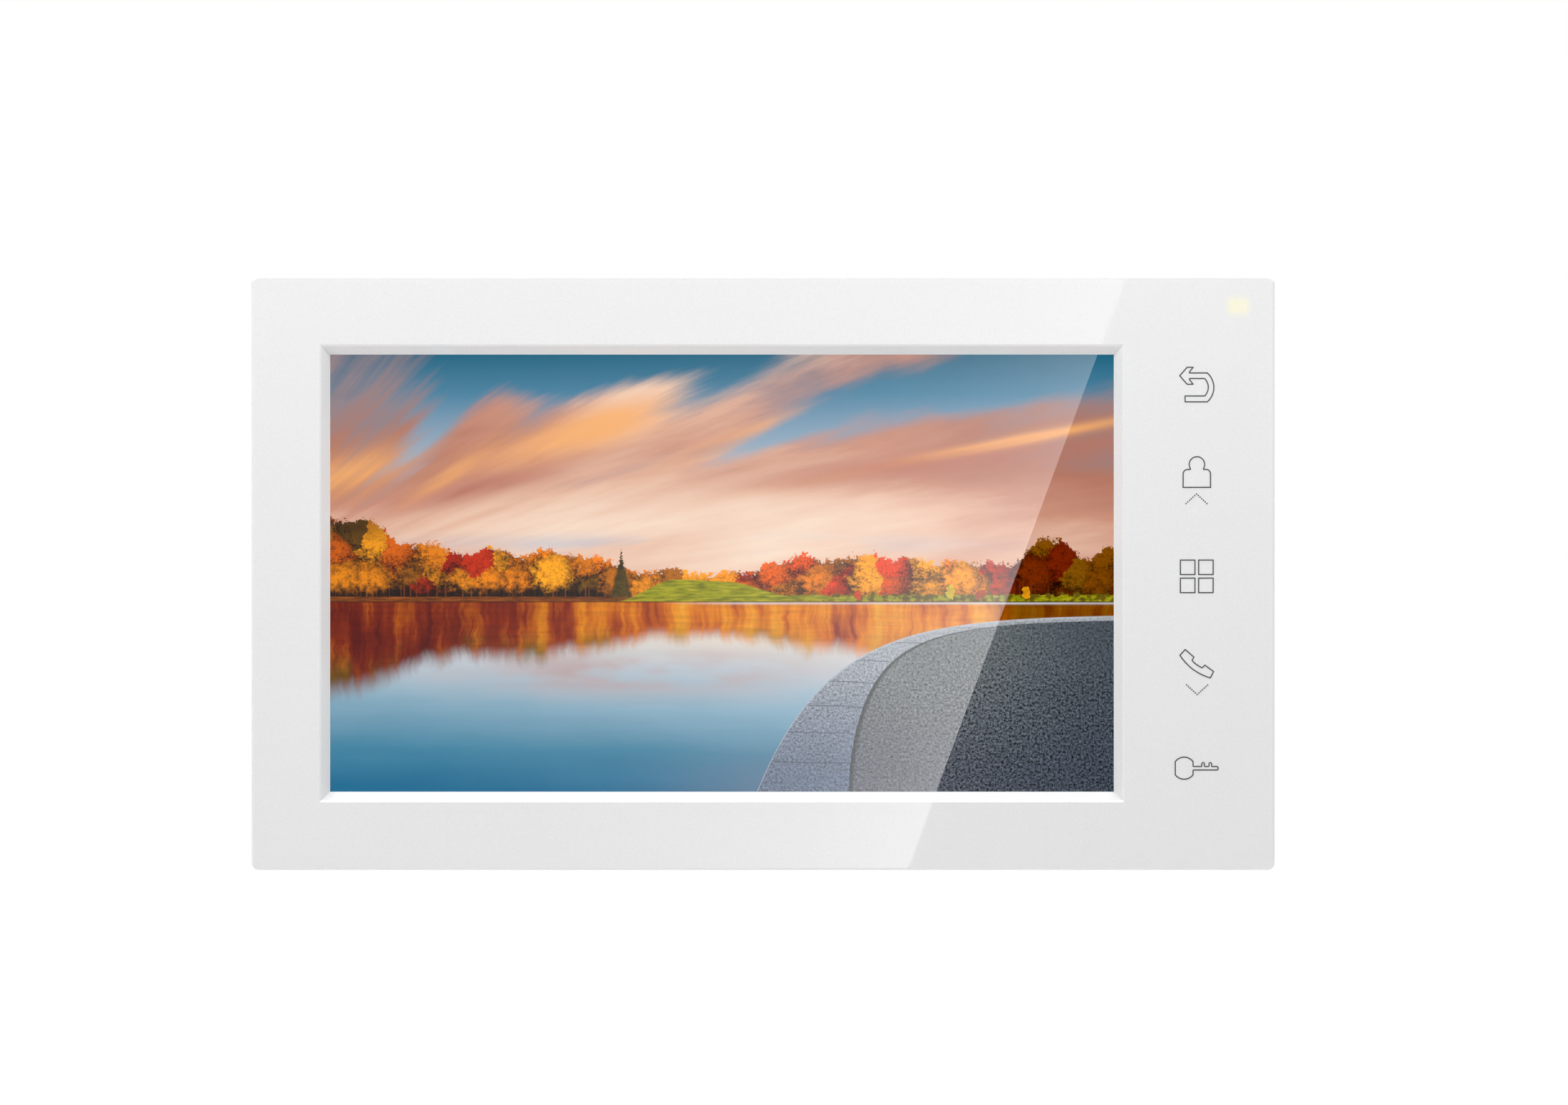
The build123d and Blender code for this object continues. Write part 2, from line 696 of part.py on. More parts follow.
with BuildPart() as wiring_headers:
    for header_x in header_places_x:
        with BuildSketch(Plane.XY.offset(header_top)):
            with Locations((header_x, header_y)):
                Rectangle(header_width, header_depth)
        extrude(amount=-header_length)
        with BuildSketch(Plane.XY.offset(header_top - header_floor)):
            with Locations((header_x, header_y)):
                Rectangle(header_width - 1.2, header_depth - 1.4)
            with Locations((header_x, header_y + 1.9)):
                Rectangle(3.0, 1.0)
        extrude(amount=-header_length, mode=Mode.SUBTRACT)
wiring_headers.part.label = "wiring_headers"
export_step(wiring_headers.part, "parts/wiring_headers.step")

with BuildPart() as header_pins:
    with BuildSketch(Plane.XY.offset(header_top - header_floor)):
        for header_x in header_places_x:
            with Locations((header_x, header_y)):
                with GridLocations(2.0, 0, 4, 1):
                    Rectangle(0.5, 0.5)
    extrude(amount=-4.6)
header_pins.part.label = "header_pins"
export_step(header_pins.part, "parts/header_pins.step")

with BuildPart() as lead_connectors:
    with BuildSketch(Plane.XZ.offset(board_at - 1.6)):
        with Locations((-52.0, 0)):
            Rectangle(4.4, 6.4)
        with Locations((mic_x, -42.0)):
            Rectangle(6.4, 4.4)
    extrude(amount=1.6)
lead_connectors.part.label = "lead_connectors"
export_step(lead_connectors.part, "parts/lead_connectors.step")

# ---------------------------------------------------------------- switch and memory card

with BuildPart() as power_switch_body:
    with BuildSketch(Plane.XZ.offset(switch_body_at)):
        with Locations((94.6, switch_z)):
            Rectangle(4.8, 9.0)
    extrude(amount=board_at - switch_body_at)
    with BuildSketch(Plane.YZ.offset(94.0)):
        with Locations((-switch_at, switch_z)):
            Rectangle(1.6, 5.6)
    extrude(amount=4.0, mode=Mode.SUBTRACT)
power_switch_body.part.label = "power_switch_body"
export_step(power_switch_body.part, "parts/power_switch_body.step")

with BuildPart() as power_switch_knob:
    with BuildSketch(Plane.YZ.offset(94.2)):
        with Locations((-switch_at, knob_rest_z)):
            Rectangle(1.3, 2.6)
    extrude(amount=3.2)
    with BuildSketch(Plane.YZ.offset(97.3)):
        with Locations((-switch_at, knob_rest_z)):
            Rectangle(2.0, 3.0)
    extrude(amount=2.5)
    # Grip lines across the knob's end
    with BuildSketch(Plane.YZ.offset(99.5)):
        with Locations((-switch_at, knob_rest_z)):
            with GridLocations(0, 0.9, 1, 3):
                Rectangle(2.0, 0.35)
    extrude(amount=0.4, mode=Mode.SUBTRACT)
power_switch_knob.part.label = "power_switch_knob"
export_step(power_switch_knob.part, "parts/power_switch_knob.step")

with BuildPart() as memory_card_socket:
    with BuildSketch(Plane.XZ.offset(card_at - socket_roof)):
        with Locations((89.4, card_z)):
            Rectangle(15.2, 14.0)
    extrude(amount=board_at - card_at + socket_roof)
    with BuildSketch(Plane.YZ.offset(83.4)):
        with Locations((-card_at - card_thickness / 2, card_z)):
            Rectangle(1.1, card_width + 0.3)
    extrude(amount=15.0, mode=Mode.SUBTRACT)
memory_card_socket.part.label = "memory_card_socket"
export_step(memory_card_socket.part, "parts/memory_card_socket.step")

with BuildPart() as memory_card:
    with BuildSketch(Plane.XZ.offset(card_at)):
        with Locations((card_end_x - card_length / 2, card_z)):
            RectangleRounded(card_length, card_width, 0.8)
    extrude(amount=card_thickness)
    # Raised finger ridge at the outer end
    with BuildSketch(Plane.XZ.offset(card_at - finger_ridge)):
        with Locations((card_end_x - 0.5, card_z)):
            Rectangle(0.7, card_width - 2.0)
    extrude(amount=finger_ridge)
memory_card.part.label = "memory_card"
export_step(memory_card.part, "parts/memory_card.step")

# ---------------------------------------------------------------- touch keys

with BuildPart() as touch_board:
    with BuildSketch(Plane.XZ.offset(touch_at)):
        with Locations((touch_x, touch_z)):
            RectangleRounded(touch_right - touch_left, touch_top - touch_bottom, 1.0)
        with Locations(*touch_screw_spots):
            Circle(1.1, mode=Mode.SUBTRACT)
    extrude(amount=touch_thickness)
touch_board.part.label = "touch_board"
export_step(touch_board.part, "parts/touch_board.step")

with BuildPart() as touch_pads:
    with BuildSketch(Plane.XZ.offset(touch_at + touch_thickness)):
        for pad_z in key_heights:
            with Locations((key_x, pad_z)):
                Circle(pad_radius)
                Circle(pad_radius / 2, mode=Mode.SUBTRACT)
    extrude(amount=front_wall_at - touch_at - touch_thickness)
touch_pads.part.label = "touch_pads"
export_step(touch_pads.part, "parts/touch_pads.step")

with BuildPart() as touch_chip:
    add(chip(84.0, 28.0, touch_at, body_width=4.0, body_height=10.0, body_thickness=1.2, pin_rows=8))
touch_chip.part.label = "touch_chip"
export_step(touch_chip.part, "parts/touch_chip.step")

with BuildPart() as touch_board_screws:
    with Locations(*[(x, -touch_at, z) for x, z in touch_screw_spots]):
        add(
            cross_screw(
                head_radius=1.8, head_height=1.2, shank_radius=0.9, shank_length=3.5,
                cross_width=2.0, cross_slot=0.4, cross_depth=0.6,
            )
        )
touch_board_screws.part.label = "touch_board_screws"
export_step(touch_board_screws.part, "parts/touch_board_screws.step")

with BuildPart() as touch_connectors:
    for base_at in (board_front_at, touch_at - 1.5):
        with BuildSketch(Plane.XZ.offset(base_at)):
            with Locations((87.0, ribbon_z)):
                Rectangle(5.0, ribbon_width + 3.0)
        extrude(amount=1.5)
        with BuildSketch(Plane.XZ.offset(base_at + 0.5)):
            with Locations((89.0, ribbon_z)):
                Rectangle(3.0, ribbon_width + 0.4)
        extrude(amount=0.5, mode=Mode.SUBTRACT)
touch_connectors.part.label = "touch_connectors"
export_step(touch_connectors.part, "parts/touch_connectors.step")

with BuildPart() as touch_ribbon:
    with BuildSketch(Plane.XY.offset(ribbon_z - ribbon_width / 2)):
        with BuildLine():
            FilletPolyline(
                (87.8, -board_front_at - 0.75), (94.0, -board_front_at - 0.75),
                (94.0, -touch_at + 0.75), (87.8, -touch_at + 0.75),
                radius=2.0,
            )
        trace(line_width=flex_thickness)
    extrude(amount=ribbon_width)
touch_ribbon.part.label = "touch_ribbon"
export_step(touch_ribbon.part, "parts/touch_ribbon.step")

with BuildPart() as status_led:
    with BuildSketch(Plane.XZ.offset(touch_at + touch_thickness)):
        with Locations((led_x, led_z)):
            RectangleRounded(3.2, 1.6, 0.2)
    extrude(amount=0.8)
status_led.part.label = "status_led"
export_step(status_led.part, "parts/status_led.step")

with BuildPart() as led_light_guide:
    with BuildSketch(Plane.XZ.offset(led_well_at - 0.1)):
        with Locations((led_x, led_z)):
            RectangleRounded(3.5, 2.7, 0.5)
    extrude(amount=body_depth - led_skin - led_well_at)
led_light_guide.part.label = "led_light_guide"
export_step(led_light_guide.part, "parts/led_light_guide.step")

# ---------------------------------------------------------------- sound

with BuildPart() as speaker_gasket:
    with BuildSketch(Plane.XZ.offset(floor_at)):
        with Locations((speaker_x, 0)):
            Circle(speaker_radius)
            Circle(speaker_radius - 2.5, mode=Mode.SUBTRACT)
    extrude(amount=speaker_gasket_thickness)
speaker_gasket.part.label = "speaker_gasket"
export_step(speaker_gasket.part, "parts/speaker_gasket.step")

with BuildPart() as speaker_basket:
    with BuildSketch(Plane.XZ.offset(speaker_seat_at)):
        with Locations((speaker_x, 0)):
            Circle(speaker_radius)
            Circle(speaker_radius - 1.5, mode=Mode.SUBTRACT)
    extrude(amount=basket_rim)
    with BuildSketch(Plane.XZ.offset(speaker_seat_at + basket_rim)):
        with Locations((speaker_x, 0)):
            Circle(speaker_radius)
            Circle(8.0, mode=Mode.SUBTRACT)
            with PolarLocations(11.5, 4):
                SlotOverall(6.0, 3.0, rotation=90, mode=Mode.SUBTRACT)
    extrude(amount=basket_sheet)
speaker_basket.part.label = "speaker_basket"
export_step(speaker_basket.part, "parts/speaker_basket.step")

with BuildPart() as speaker_cone:
    with BuildSketch(Plane(origin=(speaker_x, -speaker_seat_at, 0), z_dir=(0, 0, 1))):
        with BuildLine():
            Polyline((0, -1.3), (4.0, -1.3), (12.5, -0.4), (14.3, -0.4), (14.3, -0.15))
            Polyline((14.3, -0.15), (12.4, -0.15), (3.9, -1.05), (0, -1.05), (0, -1.3))
        make_face()
    revolve(axis=Axis((speaker_x, 0, 0), (0, 1, 0)))
speaker_cone.part.label = "speaker_cone"
export_step(speaker_cone.part, "parts/speaker_cone.step")

with BuildPart() as speaker_magnet:
    with BuildSketch(Plane.XZ.offset(magnet_at)):
        with Locations((speaker_x, 0)):
            Circle(9.0)
    extrude(amount=magnet_height)
    chamfer(speaker_magnet.edges().filter_by(GeomType.CIRCLE), 0.4)
    with BuildSketch(Plane.XZ.offset(magnet_at)):
        with Locations((speaker_x, 0)):
            Circle(6.8)
            Circle(5.7, mode=Mode.SUBTRACT)
    extrude(amount=1.4, mode=Mode.SUBTRACT)
speaker_magnet.part.label = "speaker_magnet"
export_step(speaker_magnet.part, "parts/speaker_magnet.step")

with BuildPart() as voice_coil:
    with BuildSketch(Plane.XZ.offset(speaker_seat_at + 1.35)):
        with Locations((speaker_x, 0)):
            Circle(6.4)
            Circle(6.1, mode=Mode.SUBTRACT)
    extrude(amount=1.9)
voice_coil.part.label = "voice_coil"
export_step(voice_coil.part, "parts/voice_coil.step")

with BuildPart() as speaker_clamps:
    with BuildSketch(Plane.XZ.offset(magnet_at)):
        with Locations((speaker_x, 0)):
            with PolarLocations(17.2, 4, start_angle=45):
                SlotOverall(9.0, 5.0)
        with Locations(*clamp_spots):
            Circle(1.15, mode=Mode.SUBTRACT)
    extrude(amount=clamp_sheet)
speaker_clamps.part.label = "speaker_clamps"
export_step(speaker_clamps.part, "parts/speaker_clamps.step")

with BuildPart() as speaker_screws:
    with Locations(*[Location((x, -clamp_head_at, z), (0, 0, 180)) for x, z in clamp_spots]):
        add(
            cross_screw(
                head_radius=1.9, head_height=1.3, shank_radius=1.0,
                shank_length=clamp_head_at - clamp_screw_at,
                cross_width=2.2, cross_slot=0.5, cross_depth=0.6,
            )
        )
speaker_screws.part.label = "speaker_screws"
export_step(speaker_screws.part, "parts/speaker_screws.step")

# Insulated leads: straight runs joined by tangent arcs
with BuildPart() as speaker_leads:
    for lead_z in (-1.4, 1.4):
        with BuildLine(mode=Mode.PRIVATE) as speaker_route:
            FilletPolyline(
                (-63.5, -6.4, lead_z), (-61.2, -6.4, lead_z), (-59.6, -7.6, lead_z), (-54.2, -7.6, lead_z),
                radius=1.6,
            )
        with BuildSketch(Plane(speaker_route.line @ 0, z_dir=speaker_route.line % 0)):
            Circle(0.45)
        sweep(path=speaker_route.line)
speaker_leads.part.label = "speaker_leads"
export_step(speaker_leads.part, "parts/speaker_leads.step")

with BuildPart() as microphone_capsule:
    with BuildSketch(Plane.XY.offset(mic_top_z)):
        with Locations((mic_x, -mic_at)):
            Circle(mic_radius)
    extrude(amount=-1.6)
    with BuildSketch(Plane.XY.offset(mic_top_z - 1.6)):
        with Locations((mic_x, -mic_at)):
            Circle(0.5)
    extrude(amount=0.4, mode=Mode.SUBTRACT)
microphone_capsule.part.label = "microphone_capsule"
export_step(microphone_capsule.part, "parts/microphone_capsule.step")

with BuildPart() as microphone_boot:
    with BuildSketch(Plane.XY.offset(mic_top_z - 1.7)):
        with Locations((mic_x, -mic_at)):
            Circle(boot_radius)
            Circle(mic_radius + 0.02, mode=Mode.SUBTRACT)
    extrude(amount=1.7)
    with BuildSketch(Plane.XY.offset(mic_top_z)):
        with Locations((mic_x, -mic_at)):
            Circle(boot_radius)
            with GridLocations(1.6, 0, 2, 1):
                Circle(0.35, mode=Mode.SUBTRACT)
    extrude(amount=0.8)
microphone_boot.part.label = "microphone_boot"
export_step(microphone_boot.part, "parts/microphone_boot.step")

with BuildPart() as microphone_leads:
    for lead_x in (mic_x - 0.8, mic_x + 0.8):
        with BuildLine(mode=Mode.PRIVATE) as mic_route:
            FilletPolyline(
                (lead_x, -mic_at, mic_top_z), (lead_x, -mic_at, -50.5),
                (lead_x, -mic_at - 1.9, -47.5), (lead_x, -mic_at - 1.9, -44.2),
                radius=1.6,
            )
        with BuildSketch(Plane(mic_route.line @ 0, z_dir=mic_route.line % 0)):
            Circle(0.3)
        sweep(path=mic_route.line)
microphone_leads.part.label = "microphone_leads"
export_step(microphone_leads.part, "parts/microphone_leads.step")

# ---------------------------------------------------------------- printed key marks

def ink_outline():
    """Turns the filled shape being drawn into a line of ink along its edge."""
    offset(amount=stroke / 2)
    offset(amount=-stroke, mode=Mode.SUBTRACT)


with BuildPart() as key_icons:
    # Back arrow
    with BuildSketch(Plane(origin=(key_x, -body_depth, key_heights[0]), x_dir=(1, 0, 0), z_dir=(0, -1, 0))):
        with BuildLine():
            Polyline((1.54, 1.16), (-1.60, 1.16), (-0.72, 0.04), (-1.89, 0.04), (-3.35, 1.71))
            Polyline((-3.35, 1.71), (-1.89, 3.38), (-0.72, 3.38), (-1.60, 2.26), (2.08, 2.26))
            ThreePointArc((2.08, 2.26), (3.35, -0.58), (2.08, -3.42))
            Polyline((2.08, -3.42), (-2.30, -3.42), (-2.30, -2.27), (1.54, -2.27))
            ThreePointArc((1.54, -2.27), (2.26, -0.56), (1.54, 1.16))
        make_face()
        ink_outline()
    extrude(amount=ink)
    # Person
    with BuildSketch(Plane.XZ.offset(body_depth)) as person:
        with Locations((85.23, 18.62)):
            Rectangle(5.38, 3.53)
        fillet(person.vertices().group_by(Axis.Y)[-1], 0.87)
        with Locations((85.25, 21.37)):
            Circle(1.52)
        ink_outline()
    extrude(amount=ink)
    # Menu
    with BuildSketch(Plane.XZ.offset(body_depth)):
        with Locations((85.22, -0.63)):
            with GridLocations(3.58, 3.55, 2, 2):
                Rectangle(2.85, 2.85)
        ink_outline()
    extrude(amount=ink)
    # Handset
    with BuildSketch(Plane.XZ.offset(body_depth)):
        with BuildLine():
            Polyline((81.92, -16.16), (82.95, -15.01), (84.65, -16.50), (84.29, -17.15))
            ThreePointArc((84.29, -17.15), (85.20, -18.00), (86.31, -18.61))
            Polyline((86.31, -18.61), (86.81, -18.09), (88.51, -19.34), (87.88, -20.60))
            ThreePointArc((87.88, -20.60), (84.62, -19.02), (81.92, -16.16))
        make_face()
        ink_outline()
    extrude(amount=ink)
    # Key
    with BuildSketch(Plane.XZ.offset(body_depth)):
        with Locations((82.74, -38.34)):
            Circle(2.17)
            Rectangle(3.49, 6.0, mode=Mode.INTERSECT)
        with Locations((86.72, -38.35)):
            SlotOverall(5.42, 0.70)
        with Locations((86.46, -37.80), (87.87, -37.80)):
            SlotOverall(1.10, 0.51, rotation=90)
        ink_outline()
    extrude(amount=ink)
    # Dotted carets between the marks
    with BuildSketch(Plane.XZ.offset(body_depth)):
        for tip_x, tip_z, way in ((85.17, 15.57, -1), (85.29, -23.86, 1)):
            for step in range(-6, 7):
                with Locations((tip_x + caret_step_x * step, tip_z + way * caret_step_z * abs(step))):
                    Circle(dot_radius)
    extrude(amount=ink)
key_icons.part.label = "key_icons"
export_step(key_icons.part, "parts/key_icons.step")
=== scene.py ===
import math

import bpy
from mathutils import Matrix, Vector


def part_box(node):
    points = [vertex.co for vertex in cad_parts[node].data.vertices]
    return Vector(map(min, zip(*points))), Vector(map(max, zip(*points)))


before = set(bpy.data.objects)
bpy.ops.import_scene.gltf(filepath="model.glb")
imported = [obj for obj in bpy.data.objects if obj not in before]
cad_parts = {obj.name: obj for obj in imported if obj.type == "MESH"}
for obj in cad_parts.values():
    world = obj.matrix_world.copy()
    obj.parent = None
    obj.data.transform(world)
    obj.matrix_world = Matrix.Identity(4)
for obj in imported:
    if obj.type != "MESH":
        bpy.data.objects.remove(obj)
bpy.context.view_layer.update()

# A wall-mounted video intercom monitor: materials, lights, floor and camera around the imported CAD
# parts. Everything is in metres, with X to the viewer's right, Z up and the front facing -Y.

MM = 0.001
body_low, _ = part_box("front_frame")
pane_low, pane_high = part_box("screen_window")
guide_low, guide_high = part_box("led_light_guide")
FRONT = body_low.y

# The window in the casing laps over the pane by this much on each side
PANE_LAP_X = 2.95 * MM
PANE_LAP_Z = 3.0 * MM
window_left = pane_low.x + PANE_LAP_X
window_bottom = pane_low.z + PANE_LAP_Z
window_height = pane_high.z - PANE_LAP_Z - window_bottom

# ---------------------------------------------------------------- camera

# The camera faces the point AIM_RIGHT, AIM_UP of the casing's front and sees VIEW_WIDTH across it
AIM_RIGHT = 4.1 * MM
AIM_UP = 4.06 * MM
CAMERA_DISTANCE = 3.0
VIEW_WIDTH = 308.15 * MM
SENSOR = 36.0


def make_camera():
    """A long lens straight in front of the screen."""
    data = bpy.data.cameras.new("camera")
    data.sensor_width = SENSOR
    data.lens = SENSOR * CAMERA_DISTANCE / VIEW_WIDTH
    data.clip_end = 100.0
    camera = bpy.data.objects.new("camera", data)
    camera.location = (AIM_RIGHT, FRONT - CAMERA_DISTANCE, AIM_UP)
    camera.rotation_euler = (math.radians(90), 0, 0)
    bpy.context.scene.collection.objects.link(camera)
    bpy.context.scene.camera = camera


# ---------------------------------------------------------------- node arithmetic


class Val:
    """A shader node's output. Arithmetic on it adds the nodes that compute the result."""

    def __init__(self, socket):
        self.socket = socket
        self.tree = socket.id_data


def put(tree, socket, value):
    """Links a Val into a socket, or sets the socket to a plain number, colour or vector."""
    if isinstance(value, Val):
        tree.links.new(value.socket, socket)
    else:
        socket.default_value = value


def add_node(tree, kind, inputs=None, **settings):
    """Adds a shader node with these settings; inputs maps an input's name or number to its value."""
    made = tree.nodes.new("ShaderNode" + kind)
    for name, value in settings.items():
        setattr(made, name, value)
    for key, value in (inputs or {}).items():
        put(tree, made.inputs[key], value)
    return made


def tree_of(values):
    return next(v.tree for v in values if isinstance(v, Val))


def calc(operation, *values):
    made = add_node(tree_of(values), "Math", dict(enumerate(values)), operation=operation)
    return Val(made.outputs[0])


def infix(operation, swapped=False):
    """The method behind one arithmetic operator of Val."""

    def method(self, other):
        return calc(operation, other, self) if swapped else calc(operation, self, other)

    return method


Val.__add__ = Val.__radd__ = infix("ADD")
Val.__mul__ = Val.__rmul__ = infix("MULTIPLY")
Val.__sub__ = infix("SUBTRACT")
Val.__rsub__ = infix("SUBTRACT", swapped=True)
Val.__truediv__ = infix("DIVIDE")
Val.__pow__ = infix("POWER")


def clamp(x):
    return calc("MINIMUM", calc("MAXIMUM", x, 0.0), 1.0)


def smooth(low, high, x):
    """0 below low, 1 above high, and a soft step between; low and high may be Vals."""
    inputs = {"Value": x, "From Min": low, "From Max": high}
    made = add_node(tree_of((x, low, high)), "MapRange", inputs, interpolation_type="SMOOTHSTEP")
    return Val(made.outputs[0])


def between(low, high, soft, x):
    """1 between low and high, with soft edges."""
    return smooth(low - soft, low + soft, x) * (1.0 - smooth(high - soft, high + soft, x))


def bell(middle, width, x):
    """A rounded hump of height 1 at middle."""
    return calc("EXPONENT", ((x - middle) / width) ** 2.0 * -1.0)


def join(x, y, z=0.0):
    made = add_node(tree_of((x, y, z)), "CombineXYZ", {0: x, 1: y, 2: z})
    return Val(made.outputs[0])


def split(vector):
    made = add_node(vector.tree, "SeparateXYZ", {0: vector})
    return [Val(output) for output in made.outputs]


def noise(at, scale, detail=2.0, rough=0.5, distortion=0.0):
    inputs = {"Vector": at, "Scale": scale, "Detail": detail, "Roughness": rough, "Distortion": distortion}
    return Val(add_node(at.tree, "TexNoise", inputs).outputs["Fac"])


def cells(at, scale, randomness=1.0):
    """Voronoi cells: the distance from the cell's point, and the cell's random number."""
    inputs = {"Vector": at, "Scale": scale, "Randomness": randomness}
    made = add_node(at.tree, "TexVoronoi", inputs)
    return Val(made.outputs["Distance"]), split(Val(made.outputs["Color"]))[0]


def cell_edges(at, scale, randomness=1.0):
    """The distance from the nearest border between Voronoi cells."""
    inputs = {"Vector": at, "Scale": scale, "Randomness": randomness}
    made = add_node(at.tree, "TexVoronoi", inputs, feature="DISTANCE_TO_EDGE")
    return Val(made.outputs["Distance"])


def linear(channel):
    """One 0-255 display value as linear light."""
    c = channel / 255
    return c / 12.92 if c <= 0.04045 else ((c + 0.055) / 1.055) ** 2.4


def rgb(red, green, blue):
    return (linear(red), linear(green), linear(blue), 1.0)


def tint(first, second, share):
    """The first colour, turning into the second as share goes from 0 to 1."""
    inputs = {0: share, 6: first, 7: second}
    made = add_node(tree_of((first, second, share)), "Mix", inputs, data_type="RGBA")
    return Val(made.outputs[2])


def dim(colour, factor):
    """A colour multiplied by a number."""
    grey = join(factor, factor, factor)
    inputs = {0: 1.0, 6: colour, 7: grey}
    made = add_node(tree_of((colour, factor)), "Mix", inputs, data_type="RGBA", blend_type="MULTIPLY")
    return Val(made.outputs[2])


def ramp(x, *stops):
    """A colour that changes with x; each stop is a position and a colour."""
    made = add_node(x.tree, "ValToRGB", {0: x})
    band = made.color_ramp
    for position, colour in stops[1:-1]:
        band.elements.new(position).color = colour
    band.elements[0].position, band.elements[0].color = stops[0]
    band.elements[-1].position, band.elements[-1].color = stops[-1]
    return Val(made.outputs[0])


class Finish:
    """A material being made, with its Principled shader and the object's own coordinates."""

    def __init__(self, name, **values):
        self.material = bpy.data.materials.new(name)
        self.material.use_nodes = True
        self.tree = self.material.node_tree
        self.shader = self.tree.nodes["Principled BSDF"]
        self.place = Val(add_node(self.tree, "TexCoord").outputs["Object"])
        self.set(**values)

    def set(self, **values):
        """Sets the shader's inputs; base_color=... is its Base Color, and so on."""
        sockets = {socket.name.lower().replace(" ", "_"): socket for socket in self.shader.inputs}
        for name, value in values.items():
            put(self.tree, sockets[name], value)

    def bump(self, height, depth, strength=1.0):
        """Relief of this depth in metres, where height goes from 0 to 1."""
        made = add_node(self.tree, "Bump", {"Height": height, "Distance": depth, "Strength": strength})
        self.set(normal=Val(made.outputs[0]))

    def paint(self, *names):
        """Gives the finish to CAD nodes or to Blender pieces."""
        for name in names:
            piece = bpy.data.objects[name]
            piece.data.materials.clear()
            piece.data.materials.append(self.material)


# ---------------------------------------------------------------- casing

# The status light shows through the front skin only, as a soft patch of this size around the
# light guide behind it
GLOW_HALF_WIDTH = 1.9 * MM
GLOW_HALF_HEIGHT = 1.45 * MM
GLOW_CORNER = 0.9 * MM
GLOW_SKIN = 0.6 * MM


def rounded_distance(x, z, half_width, half_height, radius):
    """The distance outside a rounded rectangle centred on 0."""
    dx = calc("MAXIMUM", calc("ABSOLUTE", x) - (half_width - radius), 0.0)
    dz = calc("MAXIMUM", calc("ABSOLUTE", z) - (half_height - radius), 0.0)
    return calc("SQRT", dx * dx + dz * dz) - radius


def casing_front():
    """Gloss white moulded plastic with a fine grain, and the status light glowing through its skin."""
    finish = Finish("casing_front", roughness=0.015, ior=1.6)
    x, y, z = split(finish.place)
    grain = noise(finish.place, 2600.0, detail=1.0)
    cloud = noise(finish.place, 60.0, detail=3.0)
    level = 0.86 + (grain - 0.5) * 0.08 + (cloud - 0.5) * 0.012
    guide = (guide_low + guide_high) / 2
    outside = rounded_distance(x - guide.x, z - guide.z, GLOW_HALF_WIDTH, GLOW_HALF_HEIGHT, GLOW_CORNER)
    glow = 1.0 - smooth(-1.1 * MM, 1.3 * MM, outside)
    glow = glow * smooth(FRONT + GLOW_SKIN, FRONT + GLOW_SKIN / 2, y)
    finish.set(base_color=join(level, level, level * (1.003 - glow * 0.15)))
    finish.bump(grain, 0.0003 * MM, 0.2)
    finish.set(emission_color=rgb(255, 216, 60), emission_strength=glow * 0.10)
    finish.paint("front_frame")


def casing_back():
    """The same plastic with a spark-eroded matt texture."""
    finish = Finish("casing_back", roughness=0.42, ior=1.5)
    grain = noise(finish.place, 2200.0, detail=2.0, rough=0.6)
    cloud = noise(finish.place, 40.0, detail=3.0)
    level = 0.80 + (grain - 0.5) * 0.05 + (cloud - 0.5) * 0.02
    finish.set(base_color=join(level, level, level * 0.995))
    finish.bump(grain, 0.03 * MM, 0.6)
    finish.paint("rear_cover")


def key_ink():
    """Screen-printed grey ink with slightly uneven cover."""
    finish = Finish("key_ink", roughness=0.5)
    cover = noise(finish.place, 4000.0, detail=2.0)
    finish.set(base_color=tint(rgb(74, 74, 74), rgb(100, 100, 100), cover))
    finish.paint("key_icons")


def clear_pane():
    """Clear acrylic laid on the display, which carries the gloss for both."""
    finish = Finish("clear_pane", base_color=(1, 1, 1, 1), roughness=0.0, ior=1.06, transmission_weight=1.0)
    finish.paint("screen_window")


# ---------------------------------------------------------------- picture on the display

# The picture is drawn in heights of the window: u runs right from its left edge and v up from
# its bottom edge, "up" is the height above the far shore and "depth" the distance below it.
SHORE = 0.435


def ovals(u, v, *patches):
    """Soft oval patches, added up: each is u, v, half length, half width, tilt in degrees, weight."""
    total = None
    for middle_u, middle_v, length, width, tilt, weight in patches:
        turn = math.radians(tilt)
        du = u - middle_u
        dv = v - middle_v
        along = (du * math.cos(turn) + dv * math.sin(turn)) / length
        across = (dv * math.cos(turn) - du * math.sin(turn)) / width
        patch = calc("EXPONENT", (along * along + across * across) * -1.0) * weight
        total = patch if total is None else total + patch
    return total


